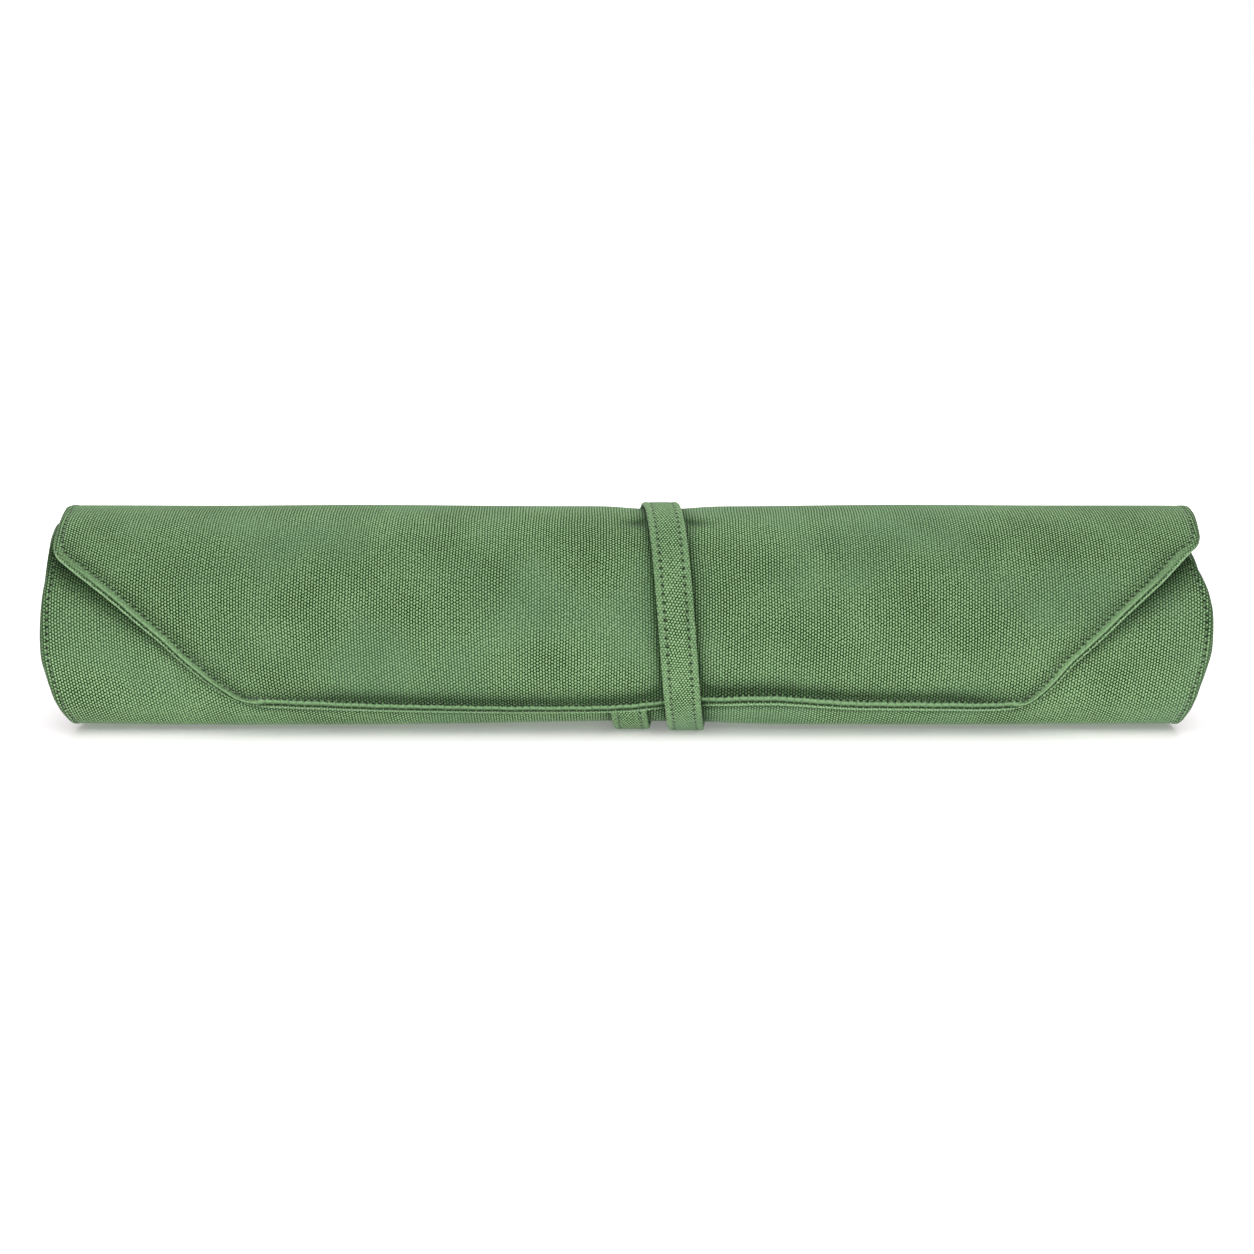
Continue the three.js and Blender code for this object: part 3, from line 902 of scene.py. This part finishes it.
def cloth_material(name, tone, pitch, yarns=CANVAS_YARNS, contrast=2.7, hole_fade=0.15):
    """Woven cloth of one tone: dents are darker and grains lighter than it, and its dye is cloudy."""
    material = bpy.data.materials.new(name)
    material.use_nodes = True
    shader = material.node_tree.nodes["Principled BSDF"]
    start = Field(material.node_tree)
    uv = start.node("ShaderNodeUVMap", {"uv_map": "cloth"})
    gap, row_gap, run, painted_shade, edging = (
        start.node("ShaderNodeAttribute", {"attribute_name": mark}, output="Fac") for mark in MARKS
    )
    faced = edging.math("MINIMUM", 1.0)
    opened = edging.step(1.0, 2.0)

    def shade(level, *tint):
        """The tone made lighter or darker, and tinted."""
        return tuple(level * part * hue for part, hue in zip(tone, tint or (1, 1, 1))) + (1,)

    weave = cloth_weave(uv, *yarns)
    slub = uv.noise(900, 1.0) - 0.5
    holes = needle_holes(row_gap, run, pitch) * (1 - faced * hole_fade)
    dashes = ((run / DASH_PITCH).math("FRACT") - 0.5).math("ABSOLUTE").step(0.06, 0.2)
    seam = gap.band(EDGE_SEAM, 0.6) * (0.2 + opened * (0.45 + dashes * 0.35))
    strip = gap.step(0.9, 1.6) * (1 - row_gap.step(-1.2, 0.2)) * faced
    rubbed_edge_highlight = 1 - gap.step(0.1, 1.0)
    cloudy = (uv.noise(38, 3.0) - 0.5) * 0.5
    level = (weave - 0.5) * (contrast - strip * (0.75 * contrast)) + slub * 1.1 + cloudy + 0.47
    colour = level.colours(shade(0.1, 0.2, 1, 0.15), shade(1.95, 1.08, 1, 1.06))
    # A dark weave for the painted shade of the creases.
    deep = level.colours(shade(0.01), shade(0.42, 0.75, 1, 0.7))
    colour = (uv.noise(17).step(0.45, 0.68) * 0.3).colours(colour, shade(1.0, 0.95, 1.0, 1.2))
    colour = (strip * 0.5).colours(colour, shade(1.12, 1.02, 1, 1.03))
    # Pale faced edge: partly rubbed wear, partly a painted highlight for the rounded edge that turns from the
    # light.
    colour = (rubbed_edge_highlight * faced * (0.6 + dashes * 0.25)).colours(colour, shade(2.1, 1.1, 1, 1.15))
    # Painted shade: the outer edge of an unfaced hem darkened, where its thickness turns away from the light.
    rim = (1 - gap.step(0.9, 1.7)) * (1 - faced)
    colour = (rim * 0.7).colours(colour, shade(0.45, 1.05, 1, 1.1))
    # Painted shade: the weave darkened where the painted shade mark says.
    colour = (painted_shade * 0.9).colours(colour, deep)
    # Painted highlight: a pale line on the facing just outside the seam, where it catches light.
    piping_highlight = gap.band(EDGE_SEAM + 0.95, 0.5) * opened * (0.3 + dashes * 0.3)
    colour = piping_highlight.colours(colour, shade(1.9, 1.05, 1, 1.1))
    colour = seam.colours(colour, shade(0.08, 0.5, 1, 0.4))
    colour = (holes * 0.85).colours(colour, shade(0.05))
    height = weave * (1 - strip * 0.6) + slub * 0.25 - holes * 1.6
    bump = start.node(
        "ShaderNodeBump", None, {"Strength": 0.8, "Distance": WEAVE_DEPTH, "Height": height}
    )
    rough = 0.88 - weave * 0.08
    for socket, value in (("Base Color", colour), ("Roughness", rough), ("Normal", bump)):
        start.tree.links.new(value.socket, shader.inputs[socket])
    shader.inputs["Specular IOR Level"].default_value = CLOTH_SPECULAR
    shader.inputs["Sheen Weight"].default_value = SHEEN
    shader.inputs["Sheen Roughness"].default_value = SHEEN_ROUGHNESS
    shader.inputs["Sheen Tint"].default_value = SHEEN_TINT
    return material


canvas = cloth_material("canvas", CANVAS_TONE, STITCH_PITCH)
print("canvas nodes:", len(canvas.node_tree.nodes))

# %% [markdown]
# ## Thread
# The stitches are sewn in thread of the cloth's own colour, a little darker. A twisted thread shows slanting
# light and dark bands, which a sine wave over Object coordinates gives at this size. Each stitch is a
# spindle, plump where the thread stands up and thin where it goes into the cloth. A curve with a bevel would
# give the same shape, but whole rows of stitches are one array here.

# %% Thread material
THREAD_TWIST = 0.4 * MM
THREAD_DARK = (0.05, 0.1, 0.04, 1)
THREAD_LIGHT = (0.13, 0.23, 0.105, 1)
THREAD_ROUGHNESS = 0.6


def thread_material(name, dark, light):
    """Two colours in fine slanting bands."""
    material = bpy.data.materials.new(name)
    material.use_nodes = True
    shader = material.node_tree.nodes["Principled BSDF"]
    start = Field(material.node_tree)
    place = start.node("ShaderNodeTexCoord", output="Object")
    parts = [start.node("ShaderNodeSeparateXYZ", None, {0: place}, output=axis) for axis in range(3)]
    twist = ((parts[0] + parts[1] + parts[2]) * (2 * math.pi / THREAD_TWIST)).math("SINE")
    colour = (twist * 0.5 + 0.5).colours(dark, light)
    start.tree.links.new(colour.socket, shader.inputs["Base Color"])
    shader.inputs["Roughness"].default_value = THREAD_ROUGHNESS
    return material


thread = thread_material("thread", THREAD_DARK, THREAD_LIGHT)
print("thread nodes:", len(thread.node_tree.nodes))

# %% Stitches as spindles
THREAD_RINGS = np.linspace(-1, 1, 5)
THREAD_SIDES = np.linspace(0, 2 * np.pi, 6, endpoint=False)
THREAD_TAPER = 0.93


def thread_object(name, centre, along, up, half_length, radius, material):
    """Stitches as spindles: rings of points along each, with the girth of an ellipse, and capped ends."""
    along = along / np.linalg.norm(along, axis=1, keepdims=True)
    across = np.cross(along, up)
    across = across / np.linalg.norm(across, axis=1, keepdims=True)
    up = np.cross(across, along)
    girth = radius * np.sqrt(1 - (THREAD_TAPER * THREAD_RINGS) ** 2)[:, None]
    reach = (THREAD_RINGS * half_length)[:, None, None]
    spine = centre[:, None, None] + along[:, None, None] * reach
    round_part = across[:, None, None] * (girth * np.cos(THREAD_SIDES))[..., None]
    points = spine + round_part + up[:, None, None] * (girth * np.sin(THREAD_SIDES))[..., None]
    ring_count, side_count = len(THREAD_RINGS), len(THREAD_SIDES)
    index = np.arange(points.shape[0] * ring_count * side_count).reshape(-1, ring_count, side_count)
    beside = np.roll(index, -1, axis=2)
    corners = [index[:, 1:], beside[:, 1:], beside[:, :-1], index[:, :-1]]
    quads = np.stack(corners, axis=-1).reshape(-1, 4)
    caps = np.vstack([index[:, 0], index[:, -1, ::-1]])
    mesh = bpy.data.meshes.new(name)
    mesh.from_pydata(points.reshape(-1, 3), [], quads.tolist() + caps.tolist())
    mesh.polygons.foreach_set("use_smooth", np.ones(len(mesh.polygons), bool))
    mesh.materials.append(material)
    made = bpy.data.objects.new(name, mesh)
    bpy.context.scene.collection.objects.link(made)
    return made


# %% [markdown]
# ## The canvas cover
# Cloth that crosses a hinge has to bend there, so the sheet is cut where nothing bends: across the middle of
# each section. Each piece then reaches from one middle to the next, over the one hinge between them. One
# whole sheet would need a weight for every hinge at once. The neighbours share the same formula, so the cuts
# don't show.

# %% Pieces of the sheet
CHAIN = (
    [f"pocket_{number}" for number in range(POCKET_COUNT, 0, -1)]
    + ["bed"]
    + [f"wrap_{number}" for number in range(1, WRAP_COUNT + 1)]
    + [f"flap_{number}" for number in range(1, FLAP_COUNT + 1)]
)
pocket_breaks = SHEET_START + POCKET_STEP * np.arange(POCKET_COUNT + 1)
wrap_breaks = BED_END + WRAP_STEP * np.arange(WRAP_COUNT + FLAP_COUNT + 1)
breaks = np.concatenate([pocket_breaks, wrap_breaks])
middles = (breaks[:-1] + breaks[1:]) / 2
cuts = np.concatenate([[SHEET_START], middles, [FLAP_END]])
PIECE_COUNT = len(cuts) - 1
ROW_STEP = 1.25
TIP_ROWS = np.array([8.5, 6.5, 5.3, 4.6, 4.2, 3.8, 3.2, 2.4, 1.7, 1.25, 0.8, 0.4, 0.15, 0])


def piece_rows(start, end):
    """Angles from one cut to the next, with the hem's own rows at the tip and at the inner end."""
    count = max(4, round((cloth_length(end) - cloth_length(start)) / ROW_STEP))
    if end == FLAP_END:
        hem_rows = FLAP_END - np.degrees(TIP_ROWS / spiral_radius(FLAP_END))
        return np.concatenate([np.linspace(start, hem_rows[0], count)[:-1], hem_rows])
    if start == SHEET_START:
        hem_rows = SHEET_START + np.degrees(TIP_ROWS[::-1] / spiral_radius(SHEET_START))
        return np.concatenate([hem_rows, np.linspace(hem_rows[-1], end, count)[1:]])
    return np.linspace(start, end, count)


def join_to_chain(piece, index):
    """The first and last pieces ride on one body. The others keep their place, baked into their mesh."""
    if index in (0, PIECE_COUNT - 1):
        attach(piece, CHAIN[min(index, len(CHAIN) - 1)])
        return
    nearest = middles[index - 1:index + 1]
    ends = [roll_point(0, spiral_radius(middle), middle).tolist() for middle in nearest]
    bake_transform(piece)


def piece_name(kind, index):
    """The kind of cloth with the two sections that a piece joins, or with the end that it is."""
    if index == 0:
        return f"{kind}_inner_end"
    if index == PIECE_COUNT - 1:
        return f"{kind}_tip"
    return f"{kind}_{CHAIN[index - 1]}_to_{CHAIN[index]}"


print("pieces of the sheet:", PIECE_COUNT)

# %% Canvas cover
HEM_WIDTH = 12
COVER_COLUMNS = 200
TIP_SQUEEZE = 0.55

for index in range(PIECE_COUNT):
    rows = piece_rows(cuts[index], cuts[index + 1])
    rows, keep = with_neighbours(rows, index == 0, index == PIECE_COUNT - 1)
    place = sheet_places(rows, COVER_COLUMNS)
    outer_radius = cover_radius(place)
    thickness = np.where(place.gap < HEM_WIDTH + 0.1, HEM_DEPTH, COVER)
    inset = edge_inset(place.gap, HEM_DEPTH)
    outer = roll_point(place.x, outer_radius - inset, place.angle)
    inner = roll_point(place.x, outer_radius - thickness + inset, place.angle)
    uv = np.stack([place.x, weave_length(place.angle)], axis=-1) * MM
    row_gap = place.gap - stitch_row(place)
    edge_gap = place.gap * (1 - TIP_SQUEEZE * at_tip(place))
    edging = facing(place.angle) + piped(place.angle)
    marks = cloth_marks(edge_gap, row_gap, place.run, painted_shade_in_folds(place), edging)
    piece = shell_object(piece_name("cover", index), outer, inner, uv, marks, canvas, keep)
    join_to_chain(piece, index)
    if index < len(CHAIN):
        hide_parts(f"{CHAIN[index]}_cover")

# %% [markdown]
# ## Stitches of the hems
# The rows of stitches follow the edges at a fixed distance. Each stitch sinks a little into its groove, and
# the material's needle holes fall between the stitches, because both count the same run along the edge.
# Copies of one stitch along a curve would do too, but they wouldn't keep step with the holes.

# %% Where the stitches lie
TIP_CORNER = 5.5


def stitch_runs(start, end):
    """Runs along an edge at which whole stitches lie."""
    return np.arange(math.ceil(start / STITCH_PITCH), math.floor(end / STITCH_PITCH)) * STITCH_PITCH


def place_on_sheet(angle, x, run, gap=0):
    """A place like those of the grid, but at a chosen distance from the edge."""
    tip_gap = cloth_length(tip_angle(x)) - cloth_length(angle)
    side_gap = np.minimum(x + side_half(angle, -1), side_half(angle, 1) - x)
    gap = np.broadcast_to(np.asarray(gap, float), np.shape(x))
    return SimpleNamespace(angle=angle, x=x, gap=gap, run=run, tip_gap=tip_gap, side_gap=side_gap)


def side_places(start, end, side):
    """Places of the stitches on one side of the sheet between two angles: in from the edge by the row's
    distance, and further where the side slants."""
    run = stitch_runs(*side_run(np.array([start, end]), side))
    angle = np.interp(run, side_runs[side], length_angles)
    edge = place_on_sheet(angle, side * side_half(angle, side), run)
    x = edge.x - side * stitch_row(edge) * side_slant(angle, side)
    return place_on_sheet(angle, x, run, stitch_row(edge))


def corner_angle(side):
    """The angle at which the stitches on one side meet those along the tip."""
    return tip_angle(side * side_half(np.array(FLAP_END - 6.0), side)) - TIP_CORNER


def tip_places():
    """Places of the stitches along the tip."""
    ends = [side * (side_half(corner_angle(side), side) - FLAP_STITCH) for side in (-1, 1)]
    x = stitch_runs(*ends)
    angle = tip_angle(x) - np.degrees(TIP_STITCH / spiral_radius(FLAP_END))
    return place_on_sheet(angle, x, x, TIP_STITCH)


print("stitches along the tip:", len(tip_places().x))

# %% Stitches of the hems
THREAD_RADIUS = 0.26
STITCH_SHARE = 0.36
STITCH_SINK = 0.08


def sew(name, rows):
    """One thread mesh from rows of places: each stitch lies along its row, on the cloth."""
    centres, headings, ups = [], [], []
    for place in rows:
        if len(place.angle) < 2:
            continue
        centre = roll_point(place.x, cover_radius(place) - STITCH_SINK, place.angle)
        centres.append(centre)
        headings.append(np.gradient(centre, axis=0))
        ups.append(roll_point(0, 1, place.angle) - roll_point(0, 0, place.angle))
    parts = [np.vstack(part) for part in (centres, headings, ups)]
    return thread_object(name, *parts, STITCH_SHARE * STITCH_PITCH * MM, THREAD_RADIUS * MM, thread)


for index in range(PIECE_COUNT):
    start, end = cuts[index], cuts[index + 1]
    is_tip = index == PIECE_COUNT - 1
    rows = [side_places(start, corner_angle(side) if is_tip else end, side) for side in (-1, 1)]
    stitches = sew(piece_name("stitches", index), rows + [tip_places()] * is_tip)
    join_to_chain(stitches, index)

# %% [markdown]
# ## Strap
# The strap is a strip of the same canvas, folded and sewn along both edges. It is made like the sheet, as a
# profile carried along its helix: flat, with rounded edges and a groove for each row of stitches. Its weave
# runs aslant, because the strip is cut across the cloth. It is cut into pieces at the same kind of places.

# %% Shape of the strap
STRAP_STITCH = 2.8
STRAP_STITCH_PITCH = 3.5
STRAP_COLUMNS = np.array([0, 0.12, 0.35, 0.8, 1.4, 2.0, 2.4, 2.8, 3.2, 3.7, 4.6, 5.9, 7.25])

strap_breaks = np.linspace(STRAP_START, STRAP_END, STRAP_COUNT + 1)
strap_middles = (strap_breaks[:-1] + strap_breaks[1:]) / 2
strap_cuts = np.concatenate([[STRAP_ROOT], strap_middles, [STRAP_END]])
STRAP_CHAIN = ["flap_2"] + [f"strap_{number}" for number in range(1, STRAP_COUNT + 1)]
across = np.concatenate([STRAP_COLUMNS, STRAP_WIDTH - STRAP_COLUMNS[-2::-1]])
side_gap = np.minimum(across, STRAP_WIDTH - across)


def strap_run(angle):
    """Length along the strap, which is nearly even over its angle: its whole length in proportion."""
    return np.interp(angle, strap_angles, np.linspace(0, strap_length / MM, len(strap_angles)))


def strap_face(angle, gap, run):
    """The strap's outer face: a plump band, with grooves along its stitches."""
    groove = 0.25 * hump(gap, STRAP_STITCH, 0.55)
    pucker = 0.06 * hump(gap, STRAP_STITCH - 1, 2) * np.cos(2 * np.pi * run / STRAP_STITCH_PITCH)
    return strap_radius(angle) - groove + pucker


def join_strap(piece, index):
    """The last piece rides on the last stretch. The others keep their place, baked into their mesh."""
    if index == STRAP_COUNT:
        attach(piece, STRAP_CHAIN[-1])
        return
    marks = strap_middles[index - 1:index + 1] if index else np.array([STRAP_ROOT, strap_middles[0]])
    ends = [roll_point(0, strap_radius(mark), mark).tolist() for mark in marks]
    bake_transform(piece)


def strap_stitches(name, start, end):
    """Both rows of stitches on a stretch of the strap."""
    first, last = (math.ceil(strap_run(angle) / STRAP_STITCH_PITCH) for angle in (start, end))
    run = np.arange(first, last) * STRAP_STITCH_PITCH
    angle = np.interp(run, strap_run(strap_angles), strap_angles)
    radius = strap_face(angle, STRAP_STITCH, run) - STITCH_SINK
    aside = STRAP_WIDTH / 2 - STRAP_STITCH
    rows = [roll_point(strap_x(angle) + side * aside, radius, angle) for side in (-1, 1)]
    up = roll_point(0, 1, angle) - roll_point(0, 0, angle)
    headings = [np.gradient(row, axis=0) for row in rows]
    half_length = STITCH_SHARE * STRAP_STITCH_PITCH * MM
    parts = (np.vstack(rows), np.vstack(headings), np.vstack([up, up]))
    return thread_object(name, *parts, half_length, THREAD_RADIUS * MM, thread)


print("columns across the strap:", len(across))

# %% Strap
STRAP_TONE = (0.147, 0.262, 0.122)
STRAP_YARNS = (1.05 * MM, 1.3 * MM)
STRAP_CONTRAST = 2.2
STRAP_WEAVE_TURN = math.radians(-38)
STRAP_ROW_STEP = 0.9
STRAP_EDGING = 0.5
PAST_EDGE = 2

strap_canvas = cloth_material(
    "strap_canvas", STRAP_TONE, STRAP_STITCH_PITCH, STRAP_YARNS, STRAP_CONTRAST, hole_fade=0
)
for index in range(STRAP_COUNT + 1):
    start, end = strap_cuts[index], strap_cuts[index + 1]
    row_count = max(6, round((strap_run(end) - strap_run(start)) / STRAP_ROW_STEP))
    rows = np.linspace(start, end, row_count)
    rows, keep = with_neighbours(rows, index == 0, index == STRAP_COUNT)
    angle, gap = np.broadcast_arrays(rows[:, None], side_gap)
    gap = np.minimum(gap, strap_run(STRAP_END) - strap_run(angle))
    run = strap_run(angle)
    x = strap_x(angle) + across - STRAP_WIDTH / 2
    inset = edge_inset(gap, STRAP_THICKNESS)
    outer = roll_point(x, strap_face(angle, gap, run) - inset, angle)
    inner = roll_point(x, strap_radius(angle) - STRAP_THICKNESS + inset, angle)
    turn_cos, turn_sin = math.cos(STRAP_WEAVE_TURN), math.sin(STRAP_WEAVE_TURN)
    uv = np.stack([across * turn_cos - run * turn_sin, across * turn_sin + run * turn_cos], axis=-1) * MM
    marks = cloth_marks(gap + PAST_EDGE, gap - STRAP_STITCH, run, edging=STRAP_EDGING)
    piece = shell_object(f"strap_band_{index + 1}", outer, inner, uv, marks, strap_canvas, keep)
    stitches = strap_stitches(f"strap_stitches_{index + 1}", start, end)
    join_strap(piece, index)
    join_strap(stitches, index)
    if index:
        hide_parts(STRAP_CHAIN[index])

# %% [markdown]
# ## Lining
# Inside the canvas lies a thin cotton lining that ends at the hems. It shows only when the roll is opened.
# It is the same kind of grid as the cover, one layer further in and without hems of its own. The inner face
# of the cover could be painted as a lining, but the real one is a cloth of its own.

# %% Lining
LINING_TONE = (0.24, 0.29, 0.19)
LINING_YARNS = (0.7 * MM, 0.8 * MM)
LINING_COLUMNS = 40
LINING_INSET = HEM_WIDTH + 2 * SEAM_GAP
LINING_ROW_STEP = 2.2

lining_cloth = cloth_material("lining", LINING_TONE, STITCH_PITCH, LINING_YARNS)
lining_cuts = cuts[1:-1].copy()
lining_cuts[0] = SHEET_START + np.degrees(LINING_INSET / spiral_radius(SHEET_START))
lining_cuts[-1] = FLAP_END - np.degrees(LINING_INSET / spiral_radius(FLAP_END))
for index in range(1, PIECE_COUNT - 1):
    start, end = lining_cuts[index - 1:index + 1]
    row_count = max(6, round((cloth_length(end) - cloth_length(start)) / LINING_ROW_STEP))
    rows = np.linspace(start, end, row_count)
    rows, keep = with_neighbours(rows, index == 1, index == PIECE_COUNT - 2)
    share = np.linspace(0, 1, LINING_COLUMNS)
    left = -side_half(rows, -1) + LINING_INSET * side_slant(rows, -1)
    right = side_half(rows, 1) - LINING_INSET * side_slant(rows, 1)
    x = left[:, None] * (1 - share) + right[:, None] * share
    angle = bend_to_tip(rows[:, None], x)
    place = place_on_sheet(angle, x, np.zeros(x.shape), LINING_INSET)
    radius = cover_radius(place) - COVER - LAYER_GAP
    uv = np.stack([x, cloth_length(angle)], axis=-1) * MM
    faces = [roll_point(x, radius, angle), roll_point(x, radius - LINING, angle)]
    marks = cloth_marks(place.gap, place.gap, place.run)
    piece = shell_object(piece_name("lining", index), *faces, uv, marks, lining_cloth, keep)
    join_to_chain(piece, index)
    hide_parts(f"{CHAIN[index]}_lining", *[f"{CHAIN[0]}_lining"] * (index == 1))

# %% [markdown]
# ## Knife pockets
# Each pocket is a panel that is sewn down on both sides and at its left end, and stands open to the right.
# It has more cloth than the lining under it, so it bulges. The bulge is a sine arch across the pocket, which
# grows along a short taper from the sewn end, and the mouth has a folded hem. Inflating a flat panel could
# give the bulge too, but the arch has to stay inside the room that the CAD model leaves between turns.

# %% Knife pockets
POCKET_MOUTH = 95
POCKET_TAPER = 40
POCKET_END = HEM_WIDTH + SEAM_GAP - ROLL_HALF
BULGE_POWER = 0.8
BULGE_SLACK = 0.6
STITCH_MARGIN = 0.6
MOUTH_HEM = 10
MOUTH_HEM_DEPTH = 0.55
POCKET_TONE = (0.13, 0.235, 0.108)
PANEL_ROWS = 28
PANEL_COLUMNS = 70
MOUTH_COLUMNS = np.array([17, 12, 10.6, 10, 9.4, 7, 4.7, 4.3, 3.9, 2.4, 1.2, 0.5, 0.15, 0])

pocket_canvas = cloth_material("pocket_canvas", POCKET_TONE, STITCH_PITCH)
plain_x = np.linspace(POCKET_END, POCKET_MOUTH - 2 * MOUTH_HEM, PANEL_COLUMNS)
panel_x = np.concatenate([plain_x, POCKET_MOUTH - MOUTH_COLUMNS])
for number in range(1, POCKET_COUNT + 1):
    high = BED_START - (number - 1) * POCKET_STEP
    low = high - POCKET_STEP
    margin = np.degrees(STITCH_MARGIN / spiral_radius(low))
    rows = np.linspace(low + margin, high - margin, PANEL_ROWS)
    arch = np.maximum(0, np.sin(np.pi * np.linspace(0, 1, PANEL_ROWS))) ** BULGE_POWER
    rise = np.sin(np.pi / 2 * np.clip((panel_x - POCKET_END) / POCKET_TAPER, 0, 1))
    angle, x = np.broadcast_arrays(rows[:, None], panel_x)
    mouth_gap = POCKET_MOUTH - x
    hem = MOUTH_HEM_DEPTH * ease(MOUTH_HEM + 0.3, MOUTH_HEM - 0.3, mouth_gap)
    hem = hem - 0.2 * hump(mouth_gap, FLAP_STITCH, 0.6)
    depth = HEM_DEPTH + SEAM_GAP + (POCKET_DEPTH - BULGE_SLACK) * arch[:, None] * rise
    radius = spiral_radius(angle) - depth
    inset = edge_inset(mouth_gap, PANEL)
    uv = np.stack([x, cloth_length(angle)], axis=-1) * MM
    inner_radius = radius - PANEL - hem + inset
    faces = [roll_point(x, radius - inset, angle), roll_point(x, inner_radius, angle)]
    marks = cloth_marks(mouth_gap, mouth_gap - FLAP_STITCH, cloth_length(angle))
    piece = shell_object(f"pocket_panel_{number}", *faces, uv, marks, pocket_canvas)
    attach(piece, f"pocket_{number}")
    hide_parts(f"pocket_{number}_panel")
